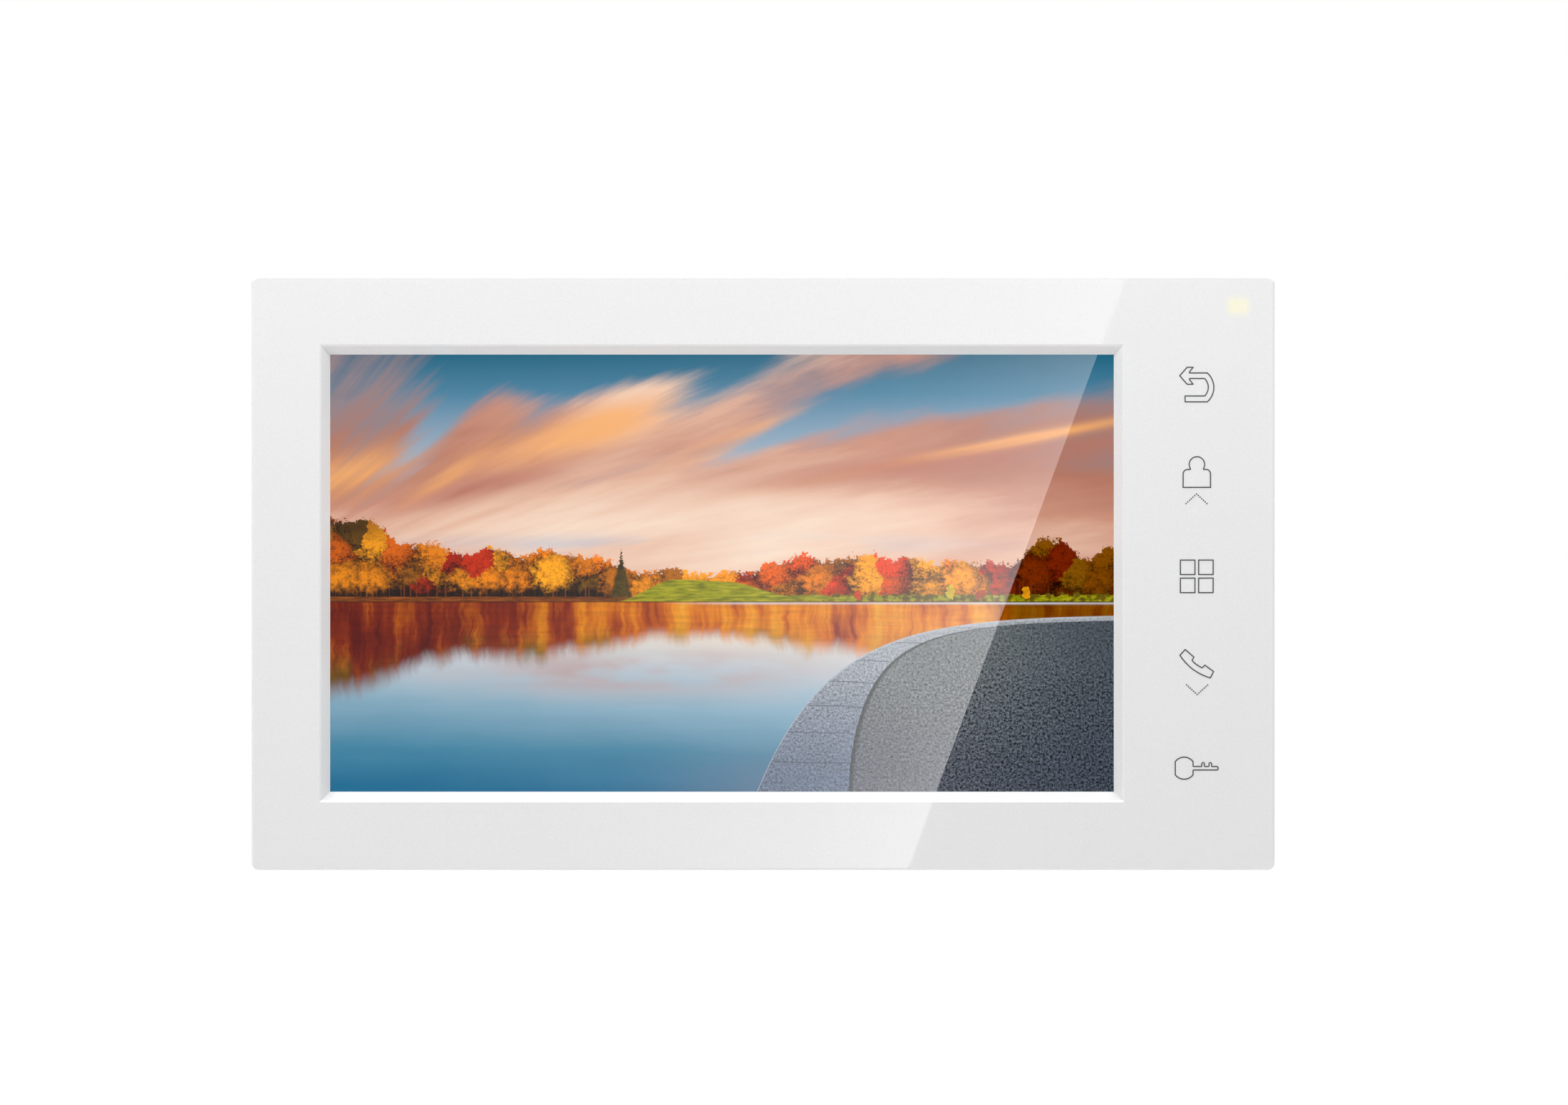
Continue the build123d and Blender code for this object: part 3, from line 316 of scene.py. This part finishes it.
def sky(u, v):
    """Evening sky: streaked clouds that fan out from a point low on the left, with blue gaps."""
    du = u + 0.40
    dv = v - 0.36
    angle = calc("ARCTAN2", dv, du)
    reach = calc("SQRT", du * du + dv * dv)
    wide = noise(join(angle * 8.0, reach * 1.5, 3.0), 1.0, detail=3.0, rough=0.5, distortion=0.4)
    fine = noise(join(angle * 30.0, reach * 2.2, 9.0), 1.0, detail=5.0, rough=0.62)
    drift = noise(join(u * 1.2, v * 7.0 - u * 1.0, 1.5), 1.0, detail=4.0)
    streak = (wide - 0.5) + (fine - 0.5) * 0.5
    blue = ramp(
        v,
        (0.74, rgb(170, 184, 198)),
        (0.84, rgb(124, 156, 180)),
        (0.91, rgb(74, 130, 160)),
        (1.00, rgb(30, 100, 128)),
    )
    left = 1.0 - smooth(0.05, 0.62, u)
    high_up = smooth(0.60, 0.76, v)
    tone = 0.92 - high_up * 0.22 - smooth(0.90, 1.60, u) * (0.27 + high_up * 0.07)
    tone = tone - left * (0.30 + smooth(0.74, 0.98, v) * 0.24) + streak * 0.55 + (drift - 0.5) * 0.5
    cloud = ramp(
        clamp(tone),
        (0.00, rgb(108, 112, 126)),
        (0.18, rgb(148, 130, 134)),
        (0.38, rgb(180, 120, 100)),
        (0.58, rgb(202, 144, 122)),
        (0.78, rgb(234, 192, 168)),
        (1.00, rgb(250, 226, 204)),
    )
    glowing = ovals(
        u, v,
        (0.56, 0.815, 0.20, 0.042, 17, 1.1),
        (0.04, 0.725, 0.13, 0.040, 20, 1.0),
        (0.26, 0.715, 0.10, 0.016, 33, 0.9),
        (1.58, 0.805, 0.36, 0.012, 11, 1.1),
        (1.05, 0.855, 0.26, 0.020, 21, 0.6),
    )
    glowing = clamp(glowing * (1.0 + streak * 2.6))
    cloud = tint(cloud, rgb(250, 178, 108), glowing * 0.85)
    shaded = ovals(u, v, (0.36, 0.70, 0.24, 0.030, 14, 1.0), (1.30, 0.745, 0.42, 0.030, 6, 0.7))
    cloud = tint(cloud, rgb(184, 116, 100), clamp(shaded * (0.75 + streak * 2.0)))
    gap = ovals(
        u, v,
        (0.72, 1.02, 0.58, 0.105, 5, 1.15),
        (1.52, 0.945, 0.46, 0.075, 11, 1.1),
        (0.24, 0.83, 0.17, 0.045, 46, 0.62),
        (1.00, 0.805, 0.15, 0.022, 22, 0.5),
        (0.84, 0.905, 0.18, 0.035, 24, 0.5),
    )
    gap = smooth(0.14, 0.74, gap - streak * 1.3)
    low_gap = smooth(0.44, 0.58, drift) * bell(0.565, 0.022, v) * bell(0.80, 0.50, u)
    cloud = tint(cloud, rgb(170, 184, 206), low_gap * 0.8)
    return tint(cloud, blue, gap)


def treeline(u):
    """How high the trees stand above the shore."""
    height = 0.090 + 0.105 * (1.0 - smooth(0.0, 0.34, u))
    height = height + 0.030 * bell(0.40, 0.20, u) - 0.014 * between(0.70, 1.02, 0.05, u)
    height = height + 0.024 * bell(1.26, 0.16, u) + 0.050 * bell(1.64, 0.06, u)
    return height + 0.03 * bell(1.85, 0.12, u)


def near_trees(u):
    """1 at the far right, where the trees stand nearer and in shade."""
    return smooth(1.48, 1.58, u)


def trees(u, up):
    """Autumn crowns above the shore: their cover and their colour."""
    clump = noise(join(u, up * 1.1, 2.0), 60.0, detail=3.0, rough=0.6)
    leaves = noise(join(u, up, 5.0), 190.0, detail=2.0, rough=0.75)
    rise, _ = cells(join(u, 0.3, 0.2), 14.0)
    top = treeline(u) + (0.40 - rise) * 0.045 + (clump - 0.5) * 0.05 + (leaves - 0.5) * 0.03
    cover = smooth(-0.002, 0.002, top - up)
    at = join(u + (clump - 0.5) * 0.05, up * 0.85 + (leaves - 0.5) * 0.03, 0.7)
    distance, pick = cells(at, 15.0, randomness=0.9)
    kind = ramp(
        pick,
        (0.00, rgb(176, 28, 8)),
        (0.12, rgb(222, 62, 8)),
        (0.24, rgb(226, 104, 4)),
        (0.46, rgb(242, 142, 8)),
        (0.66, rgb(248, 160, 20)),
        (0.80, rgb(232, 124, 6)),
        (0.92, rgb(170, 96, 10)),
        (1.00, rgb(112, 74, 14)),
    )
    lit = clump * 0.9 + leaves * 0.9 - 0.30 * smooth(0.30, 0.75, distance) + (up - 0.05) * 0.9
    lit = smooth(0.40, 1.08, lit)
    back_row = bell(0.0, 0.18, u) * smooth(0.13, 0.17, up)
    shade = 1.0 - 0.80 * near_trees(u) - 0.45 * back_row - 0.26 * (1.0 - smooth(0.2, 0.6, u))
    crown = dim(kind, (0.07 + lit * 1.20) * shade)
    trunks = noise(join(u * 150.0, up * 5.0, 8.0), 1.0, detail=1.0)
    wood = 1.0 - smooth(0.60, 0.70, u)
    gloom = (1.0 - smooth(0.016, 0.050, up + (clump - 0.5) * 0.05)) * (0.35 + wood * 0.62)
    under = tint(rgb(22, 10, 6), rgb(104, 58, 28), smooth(0.54, 0.68, trunks))
    crown = tint(crown, under, gloom)
    spruce = (0.112 - up) * 0.24 + (leaves - 0.5) * 0.02
    spruce = smooth(-0.002, 0.002, spruce - calc("ABSOLUTE", u - 0.665)) * smooth(0.0, 0.012, up)
    needles = dim(rgb(78, 62, 20), 0.25 + lit)
    return calc("MAXIMUM", cover, spruce), tint(crown, needles, spruce)


def bank(u, up, colour):
    """The grassy bank in front of the middle trees, bushes, and the ground along the shore."""
    blades = noise(join(u * 24.0, up * 170.0, 4.0), 1.0, detail=4.0, rough=0.6)
    tufts = noise(join(u * 60.0, up * 60.0, 7.0), 1.0, detail=3.0)
    grass = ramp(blades, (0.30, rgb(96, 98, 8)), (0.50, rgb(146, 146, 14)), (0.70, rgb(190, 176, 34)))
    crest = 0.050 * between(0.72, 1.00, 0.07, u) * (1.0 - 0.35 * smooth(0.80, 1.10, u))
    crest = crest + 0.016 * smooth(0.95, 1.10, u) + (tufts - 0.5) * 0.03 * smooth(0.98, 1.15, u)
    wild = tint(grass, rgb(84, 56, 18), smooth(0.42, 0.58, tufts) * smooth(1.0, 1.15, u) * 0.8)
    colour = tint(colour, wild, smooth(-0.002, 0.002, crest - up))
    for at, high, wide, leaf in (
        (1.205, 0.024, 0.012, rgb(206, 60, 16)),
        (1.418, 0.036, 0.012, rgb(214, 190, 40)),
        (1.487, 0.026, 0.018, rgb(170, 64, 26)),
        (1.592, 0.036, 0.012, rgb(240, 160, 20)),
    ):
        bush = ovals(u, up, (at, high * 0.6, wide, high * 0.5, 0, 1.0)) + (tufts - 0.5) * 1.2
        colour = tint(colour, dim(leaf, 0.3 + tufts * 1.2), smooth(0.50, 0.60, bush) * 0.85)
    litter = ramp(blades, (0.3, rgb(60, 28, 8)), (0.7, rgb(160, 84, 26)))
    return tint(colour, litter, smooth(-0.001, 0.001, 0.011 - up) * (1.0 - smooth(0.55, 0.75, u)))


def mirrored_trees(u, depth):
    """The reflection of the trees, drawn out into upright smears: its cover and its colour."""
    sway = noise(join(u * 6.0, depth * 30.0, 2.0), 1.0) - 0.5
    smear = noise(join(u * 34.0 + sway, depth * 2.5, 4.0), 1.0, detail=5.0, rough=0.62)
    broad = noise(join(u * 9.0, depth * 4.0, 6.0), 1.0, detail=3.0)
    ripple = noise(join(u * 9.0, depth * 130.0, 3.0), 1.0, detail=2.0)
    right = smooth(0.25, 0.85, u)
    length = treeline(u) * 1.06 + (smear - 0.5) * 0.060 + (broad - 0.5) * 0.05
    reach = depth / length
    hue = ramp(
        clamp(smear * 0.75 + broad * 0.85 - 0.36 + right * 0.20),
        (0.12, rgb(34, 10, 2)),
        (0.30, rgb(112, 16, 2)),
        (0.44, rgb(150, 44, 0)),
        (0.56, rgb(206, 98, 0)),
        (0.68, rgb(242, 142, 6)),
        (0.85, rgb(252, 180, 40)),
    )
    fringe = smooth(0.45, 0.95, reach) * (1.0 - 0.5 * right)
    hue = tint(hue, rgb(104, 92, 12), fringe * smooth(0.42, 0.60, broad) * 0.9)
    hue = dim(hue, (0.66 + right * 0.20 + (ripple - 0.5) * 0.5) * (1.0 - 0.7 * near_trees(u)))
    soft = 0.012 + length * 0.12
    return smooth(soft * -1.0, soft, length - depth), hue


def water(u, v):
    """Calm water with the sky and the trees mirrored in it."""
    depth = SHORE - v
    wisps = noise(join(u * 2.6, v * 8.0, 6.0), 1.0, detail=4.0)
    bands = noise(join(u * 2.0, v * 46.0, 7.0), 1.0, detail=3.0)
    open_water = ramp(
        v + (wisps - 0.5) * 0.06 + (u - 0.6) * 0.02,
        (0.00, rgb(4, 102, 142)),
        (0.09, rgb(60, 128, 158)),
        (0.20, rgb(134, 170, 190)),
        (0.29, rgb(190, 198, 206)),
        (0.36, rgb(224, 214, 202)),
        (0.43, rgb(210, 202, 190)),
    )
    blush = smooth(0.42, 0.62, wisps) * ovals(u, v, (0.70, 0.275, 0.34, 0.045, 0, 1.0))
    open_water = tint(open_water, rgb(186, 158, 156), blush)
    grey_edge = smooth(0.62, 1.05, u) * (1.0 - smooth(0.0, 0.16, v))
    open_water = tint(open_water, rgb(104, 116, 134), grey_edge * 0.5)
    open_water = dim(open_water, 1.0 + (bands - 0.5) * 0.12)
    cover, hue = mirrored_trees(u, depth)
    surface = tint(open_water, hue, cover)
    glint = bell(0.0040, 0.0026, depth) * smooth(0.74, 0.98, u) * (0.3 + bands)
    surface = tint(surface, rgb(206, 214, 220), clamp(glint))
    return tint(surface, rgb(30, 18, 8), bell(0.0, 0.0022, depth) * 0.8)


# Each edge of the kerb leaves the picture's bottom at its start, and bends over towards its top
OUTER_START = 0.976
OUTER_TOP = 0.405
OUTER_BEND = 0.166
INNER_START = 1.185
INNER_TOP = 0.395
INNER_BEND = 6.51
INNER_POWER = 0.67
EDGE_SOFTNESS = 0.0015


def promenade(u, v, behind):
    """A curved granite kerb and the asphalt behind it, in the lower right corner."""
    outer = OUTER_TOP * (1.0 - calc("EXPONENT", (u - OUTER_START) / -OUTER_BEND))
    run = calc("MAXIMUM", u - INNER_START, 0.0)
    inner = INNER_TOP * (1.0 - calc("EXPONENT", run ** INNER_POWER * -INNER_BEND))
    speck = noise(join(u, v, 1.0), 170.0, detail=2.0, rough=0.9)
    patch = noise(join(u, v, 2.0), 12.0, detail=4.0)
    far = smooth(0.0, 0.40, v)
    granite = tint(rgb(92, 106, 128), rgb(168, 172, 178), far * 0.9)
    fade = 1.0 - 0.5 * smooth(0.18, 0.40, v)
    granite = dim(granite, 1.0 + (speck - 0.5) * 3.8 * fade + (patch - 0.5) * 0.3)
    across = (outer - v) / (outer - inner + 0.02)
    slab = calc("MAXIMUM", (0.412 - v) / 0.412, 0.0) ** 0.62 * 9.0 - across * 0.12
    joint = calc("PINGPONG", slab, 0.5)
    granite = tint(granite, rgb(58, 66, 84), (1.0 - smooth(0.008, 0.030, joint)) * 0.65)
    granite = dim(granite, 1.0 - 0.45 * smooth(0.90, 1.0, across))
    granite = tint(granite, rgb(206, 212, 220), bell(0.0, 0.004, outer - v) * 0.5)
    tar = tint(rgb(86, 90, 100), rgb(122, 128, 128), far)
    tar = tint(tar, rgb(58, 66, 78), smooth(1.20, 1.85, u) * 0.85)
    grit = (speck - 0.5) * (5.0 + smooth(1.25, 1.45, u) * 2.0) * fade
    tar = dim(tar, calc("MAXIMUM", 1.0 + grit + (patch - 0.5) * 0.3, 0.08))
    # The asphalt is dark along the foot of the kerb's inner face, whose u at this v is foot
    height = calc("MINIMUM", v / INNER_TOP, 0.999)
    bend = calc("LOGARITHM", 1.0 - height, math.e) / -INNER_BEND
    foot = INNER_START + bend ** (1.0 / INNER_POWER)
    tar = dim(tar, 1.0 - 0.68 * (1.0 - smooth(0.005, 0.015, u - foot)))
    on_kerb = smooth(-EDGE_SOFTNESS, EDGE_SOFTNESS, outer - v) * smooth(0.97, 0.98, u)
    on_tar = smooth(-EDGE_SOFTNESS, EDGE_SOFTNESS, inner - v) * smooth(INNER_START, 1.19, u)
    return tint(tint(behind, granite, on_kerb), tar, on_tar)


def screen_picture():
    """The display shows a generic evening landscape: sky, autumn trees, a lake and a kerbed path."""
    finish = Finish("screen_picture", base_color=(0.0, 0.0, 0.0, 1), roughness=0.0, ior=1.94)
    x, _, z = split(finish.place)
    u = (x - window_left) / window_height
    v = (z - window_bottom) / window_height
    up = v - SHORE
    cover, crowns = trees(u, up)
    above = tint(sky(u, v), bank(u, up, crowns), cover)
    scene = tint(water(u, v), above, smooth(-0.001, 0.001, up))
    finish.set(emission_color=promenade(u, v, scene), emission_strength=1.0)
    finish.paint("lcd_panel")


# ---------------------------------------------------------------- other finishes

TRACK_PITCH = 0.8 * MM
TRACK_REGIONS = 130.0
FLEX_PITCH = 0.5 * MM
LABEL_CORNER = 1.5 * MM


def metal(name, tone, roughness, scale, stretch=(1.0, 1.0, 1.0)):
    """Plated or rolled sheet: colour and roughness vary along the grain."""
    finish = Finish(name, metallic=1.0)
    x, y, z = split(finish.place)
    along = join(x * stretch[0], y * stretch[1], z * stretch[2])
    grain = noise(along, scale, detail=3.0, rough=0.6)
    blotch = noise(finish.place, 120.0, detail=3.0)
    dark = tuple(c * 0.78 for c in tone)
    finish.set(base_color=tint((*dark, 1.0), (*tone, 1.0), grain * 0.6 + blotch * 0.4))
    finish.set(roughness=roughness + (grain - 0.5) * 0.16 + (blotch - 0.5) * 0.1)
    finish.bump(grain, 0.004 * MM, 0.5)
    return finish


def zinc_sheet():
    """Galvanised sheet with a faint spangle, each grain brushed its own way."""
    finish = Finish("zinc_sheet", metallic=1.0)
    cloud = noise(finish.place, 90.0, detail=2.0)
    _, pick = cells(finish.place, 340.0)
    fine = noise(finish.place, 1500.0, detail=3.0)
    share = pick * 0.5 + cloud * 0.35 + fine * 0.15
    finish.set(base_color=tint(rgb(180, 184, 190), rgb(212, 214, 217), share))
    finish.set(roughness=0.27 + pick * 0.12 + (fine - 0.5) * 0.1)
    finish.bump(fine, 0.004 * MM, 0.4)
    finish.paint("wall_bracket", "lcd_backplate", "lcd_chassis")


def plastic(name, low, high, roughness, scale=1800.0, depth=0.012):
    """Moulded plastic or rubber: two close tones and a fine texture."""
    finish = Finish(name, ior=1.5)
    grain = noise(finish.place, scale, detail=3.0, rough=0.6)
    blotch = noise(finish.place, 150.0, detail=2.0)
    finish.set(base_color=tint(low, high, grain * 0.5 + blotch * 0.5))
    finish.set(roughness=roughness + (grain - 0.5) * 0.15)
    finish.bump(grain, depth * MM, 0.6)
    return finish


def foam():
    """Closed-cell foam: small pits, painted darker inside as shade."""
    finish = Finish("foam", roughness=0.9)
    distance, pick = cells(finish.place, 2600.0)
    # Painted shade: each cell is darkest at its middle, where the bump sinks into a pit
    finish.set(base_color=tint(rgb(20, 20, 21), rgb(52, 52, 54), distance * 0.8 + pick * 0.2))
    finish.bump(distance, 0.08 * MM, 0.9)
    finish.paint("lcd_gasket", "window_tape", "touch_pads", "speaker_gasket")


def circuit_board():
    """Green solder mask over bundles of copper tracks, with tinned pads, and drilled holes painted dark as
    the shade inside them.
    """
    finish = Finish("circuit_board", ior=1.5)
    x, _, z = split(finish.place)
    region_at = join(x, z * 1.3)
    _, region = cells(region_at, TRACK_REGIONS, randomness=0.8)
    slanted = (x + z) * math.sqrt(0.5)
    way = smooth(0.36, 0.37, region)
    run = x + (z - x) * way
    run = run + (slanted - run) * smooth(0.78, 0.79, region)
    line = calc("PINGPONG", run, TRACK_PITCH / 2) / (TRACK_PITCH / 2)
    border = smooth(0.06, 0.10, cell_edges(region_at, TRACK_REGIONS, randomness=0.8))
    track = smooth(0.52, 0.62, line) * border
    near, pick = cells(join(x, z, 0.4), 330.0, randomness=0.25)
    pad = (1.0 - smooth(0.16, 0.20, near)) * smooth(0.72, 0.74, pick)
    hole_shade = 1.0 - smooth(0.07, 0.09, near)
    mask = tint(rgb(10, 84, 50), rgb(24, 116, 68), track)
    mask = dim(mask, 0.95 + (noise(finish.place, 300.0) - 0.5) * 0.25)
    colour = tint(mask, rgb(214, 206, 186), pad)
    # Painted shade: the drilled holes in the pads are coloured near black for the shade inside them
    colour = tint(colour, rgb(24, 22, 20), hole_shade * pad)
    finish.set(base_color=colour, metallic=pad * 0.9)
    finish.set(roughness=0.32 + pad * 0.05 + (noise(finish.place, 900.0) - 0.5) * 0.12)
    finish.bump(track * 0.6 + pad * 0.4, 0.03 * MM, 0.6)
    finish.paint("main_board", "touch_board")


def chip_epoxy():
    """Black moulding compound with a fine glass-filled grain."""
    finish = plastic("chip_epoxy", rgb(24, 24, 26), rgb(40, 40, 43), 0.55, 3200.0, 0.01)
    finish.paint("processor", "memory_chips", "audio_amplifier", "touch_chip")


def flex_film():
    """Amber film with copper tracks running along it."""
    finish = Finish("flex_film", roughness=0.28, ior=1.6)
    x, _, _ = split(finish.place)
    line = calc("PINGPONG", x, FLEX_PITCH / 2) / (FLEX_PITCH / 2)
    track = smooth(0.42, 0.55, line)
    cloud = noise(finish.place, 200.0, detail=3.0)
    film = tint(rgb(176, 104, 28), rgb(206, 134, 44), cloud)
    finish.set(base_color=tint(film, rgb(150, 78, 30), track * 0.7))
    finish.bump(track, 0.01 * MM, 0.4)
    finish.paint("lcd_flex", "touch_ribbon")


def ferrite():
    """Sintered ferrite with a fine speckle."""
    finish = plastic("ferrite", rgb(44, 44, 46), rgb(74, 74, 76), 0.6, 2600.0, 0.02)
    finish.paint("power_inductors", "speaker_magnet")


def capacitor_can():
    """Drawn aluminium cans."""
    finish = metal("capacitor_can", (0.80, 0.80, 0.81), 0.28, 2400.0, (1.0, 0.1, 1.0))
    finish.paint("capacitors", "microphone_capsule")


def speaker_paper():
    """Pressed paper pulp with short fibres."""
    finish = Finish("speaker_paper", roughness=0.85)
    fibre = noise(finish.place, 1400.0, detail=5.0, rough=0.75, distortion=1.5)
    finish.set(base_color=tint(rgb(38, 36, 34), rgb(86, 82, 76), fibre))
    finish.bump(fibre, 0.06 * MM, 0.8)
    finish.paint("speaker_cone")


def blank_label():
    """Matt silver film with nothing printed on it but a thin border."""
    finish = Finish("blank_label", metallic=0.2)
    low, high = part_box("blank_label")
    x, _, z = split(finish.place)
    middle = (low + high) / 2
    half = (high - low) / 2
    inset = rounded_distance(x - middle.x, z - middle.z, half.x, half.z, LABEL_CORNER)
    border = between(-1.5 * MM, -1.15 * MM, 0.03 * MM, inset)
    brushed = noise(join(x, z * 14.0), 700.0, detail=2.0)
    silver = tint(rgb(198, 200, 202), rgb(216, 218, 219), brushed)
    finish.set(base_color=tint(silver, rgb(84, 86, 88), border), roughness=0.42 + (brushed - 0.5) * 0.12)
    finish.bump(brushed, 0.004 * MM, 0.4)
    finish.paint("blank_label")


def light_parts():
    """Milky light guides, and LED bodies with their phosphor."""
    guide = plastic("light_guide", rgb(226, 230, 226), rgb(242, 244, 240), 0.3)
    guide.paint("lcd_backlight", "led_light_guide")
    body = plastic("led_body", rgb(232, 214, 150), rgb(246, 232, 182), 0.35)
    body.paint("backlight_leds", "status_led")


def sheet_and_screws():
    metal("black_sheet", (0.035, 0.035, 0.037), 0.45, 1800.0).paint("lcd_bezel")
    screws = metal("screw_steel", (0.60, 0.59, 0.57), 0.24, 2600.0)
    screws.paint("board_standoffs", "board_screws", "case_screws", "lcd_screws", "touch_board_screws")
    screws.paint("speaker_screws")
    metal("contact_metal", (0.76, 0.75, 0.72), 0.22, 2200.0).paint("header_pins", "memory_card_socket")
    metal("speaker_steel", (0.16, 0.16, 0.165), 0.4, 1500.0).paint("speaker_basket")
    metal("copper_wire", (0.72, 0.33, 0.15), 0.3, 9000.0, (0.1, 1.0, 0.1)).paint("voice_coil")


def small_plastics():
    nylon = plastic("connector_plastic", rgb(226, 220, 200), rgb(238, 233, 216), 0.38)
    nylon.paint("wiring_headers", "lcd_connector", "lead_connectors", "touch_connectors")
    black = plastic("black_plastic", rgb(22, 22, 23), rgb(36, 36, 38), 0.45)
    black.paint("power_switch_body", "power_switch_knob", "memory_card", "speaker_clamps")
    plastic("black_rubber", rgb(18, 18, 18), rgb(34, 34, 34), 0.7).paint("microphone_boot")
    leads = plastic("lead_insulation", rgb(120, 12, 10), rgb(160, 22, 16), 0.4, 900.0)
    leads.paint("speaker_leads", "microphone_leads")


# ---------------------------------------------------------------- light, floor and finish

# The softbox stands this far in front of the screen. The reflection of its slanted edge runs across
# the casing from GLARE_TOP to GLARE_BOTTOM, and its light fades to the left over SOFTBOX_FADE.
SOFTBOX_FORWARD = 0.5
SOFTBOX_FADE = 0.042
SOFTBOX_LEFT = -0.45
SOFTBOX_TOP = 0.16
SOFTBOX_BOTTOM = -0.16
GLARE_TOP = (71.43 * MM, 58.14 * MM)
GLARE_BOTTOM = (28.44 * MM, -58.34 * MM)

# The world's strength all round, and what is added behind the object
AMBIENT = 0.348
BACK_GLOW = 0.30

FLOOR_DROP = 0.2
FLOOR_RADIUS = 3.4
FLOOR_SIDES = 96


def lamp(name, place, aim, size, power):
    """A rectangular area light at place, turned towards aim; size is in metres, power in watts."""
    data = bpy.data.lights.new(name, "AREA")
    data.shape = "RECTANGLE"
    data.size, data.size_y = size
    data.energy = power
    made = bpy.data.objects.new(name, data)
    made.location = place
    made.rotation_euler = (Vector(aim) - Vector(place)).to_track_quat("-Z", "Y").to_euler()
    made.visible_camera = False
    bpy.context.scene.collection.objects.link(made)


def polygon(name, corners):
    mesh = bpy.data.meshes.new(name)
    mesh.from_pydata(corners, [], [tuple(range(len(corners)))])
    made = bpy.data.objects.new(name, mesh)
    bpy.context.scene.collection.objects.link(made)
    return made


def softbox():
    """A light card in front of the screen, seen only as a reflection with a slanted edge."""
    spread = 1.0 + SOFTBOX_FORWARD / CAMERA_DISTANCE
    (high_x, high_z), (low_x, low_z) = [
        (AIM_RIGHT + (x - AIM_RIGHT) * spread, AIM_UP + (z - AIM_UP) * spread)
        for x, z in (GLARE_TOP, GLARE_BOTTOM)
    ]
    slope = (high_x - low_x) / (high_z - low_z)

    def edge_at(z):
        """How far right the slanted edge is at this height."""
        return low_x + (z - low_z) * slope

    depth = FRONT - SOFTBOX_FORWARD
    corners = [
        (SOFTBOX_LEFT, depth, SOFTBOX_BOTTOM),
        (edge_at(SOFTBOX_BOTTOM), depth, SOFTBOX_BOTTOM),
        (edge_at(SOFTBOX_TOP), depth, SOFTBOX_TOP),
        (SOFTBOX_LEFT, depth, SOFTBOX_TOP),
    ]
    card = polygon("softbox", corners)
    card.visible_camera = False
    card.visible_shadow = False
    card.visible_diffuse = False
    material = bpy.data.materials.new("softbox")
    material.use_nodes = True
    tree = material.node_tree
    tree.nodes.clear()
    x, _, z = split(Val(add_node(tree, "TexCoord").outputs["Object"]))
    across = 0.06 + 0.94 * calc("EXPONENT", (edge_at(z) - x) / -SOFTBOX_FADE)
    glow = add_node(tree, "Emission", {"Color": (1, 1, 1, 1), "Strength": across * (1.75 - z * 9.0)})
    out = add_node(tree, "OutputMaterial")
    tree.links.new(glow.outputs[0], out.inputs["Surface"])
    card.data.materials.append(material)


def studio_world():
    """White to the eye; soft light all round, brighter behind the object, dark behind the camera."""
    world = bpy.data.worlds.new("studio")
    bpy.context.scene.world = world
    world.use_nodes = True
    tree = world.node_tree
    tree.nodes.clear()
    _, y, _ = split(Val(add_node(tree, "TexCoord").outputs["Generated"]))
    level = AMBIENT * (1.0 - smooth(0.95, 0.99, y * -1.0)) + BACK_GLOW * smooth(0.1, 0.8, y)
    seen = Val(add_node(tree, "LightPath").outputs["Is Camera Ray"])
    strength = level + seen * (1.0 - level)
    shine = add_node(tree, "Background", {"Color": (1, 1, 1, 1), "Strength": strength})
    out = add_node(tree, "OutputWorld")
    tree.links.new(shine.outputs[0], out.inputs["Surface"])


def make_lights():
    softbox()
    studio_world()
    lamp("key", (0.0, -0.24, 0.30), (0, FRONT, 0), (0.9, 0.1), 1.3)
    lamp("overhead", (0.0, 0.4, 3.5), (0, 0.4, 0), (3.0, 3.0), 98.0)
    lamp("side", (-1.6, -0.9, 0.1), (0, FRONT, 0), (0.5, 0.8), 3.9)
    lamp("back", (0.9, 1.1, 0.8), (0, 0, 0), (0.8, 0.8), 4.0)


def make_floor():
    """A plain pale floor below the object: a disc that ends before the main view would see it."""
    height = body_low.z - FLOOR_DROP
    turns = [2 * math.pi * step / FLOOR_SIDES for step in range(FLOOR_SIDES)]
    rim = [(FLOOR_RADIUS * math.cos(turn), FLOOR_RADIUS * math.sin(turn), height) for turn in turns]
    polygon("floor", rim)
    finish = Finish("floor", roughness=0.7)
    level = 0.84 + (noise(finish.place, 30.0, detail=3.0) - 0.5) * 0.02
    finish.set(base_color=join(level, level, level))
    finish.paint("floor")


def make_materials():
    for make in (
        casing_front, casing_back, key_ink, clear_pane, screen_picture, zinc_sheet, foam, circuit_board,
        chip_epoxy, flex_film, ferrite, capacitor_can, speaker_paper, blank_label, light_parts,
        sheet_and_screws, small_plastics,
    ):
        make()


make_camera()
make_materials()
make_lights()
make_floor()
bpy.context.scene.view_settings.view_transform = "Standard"
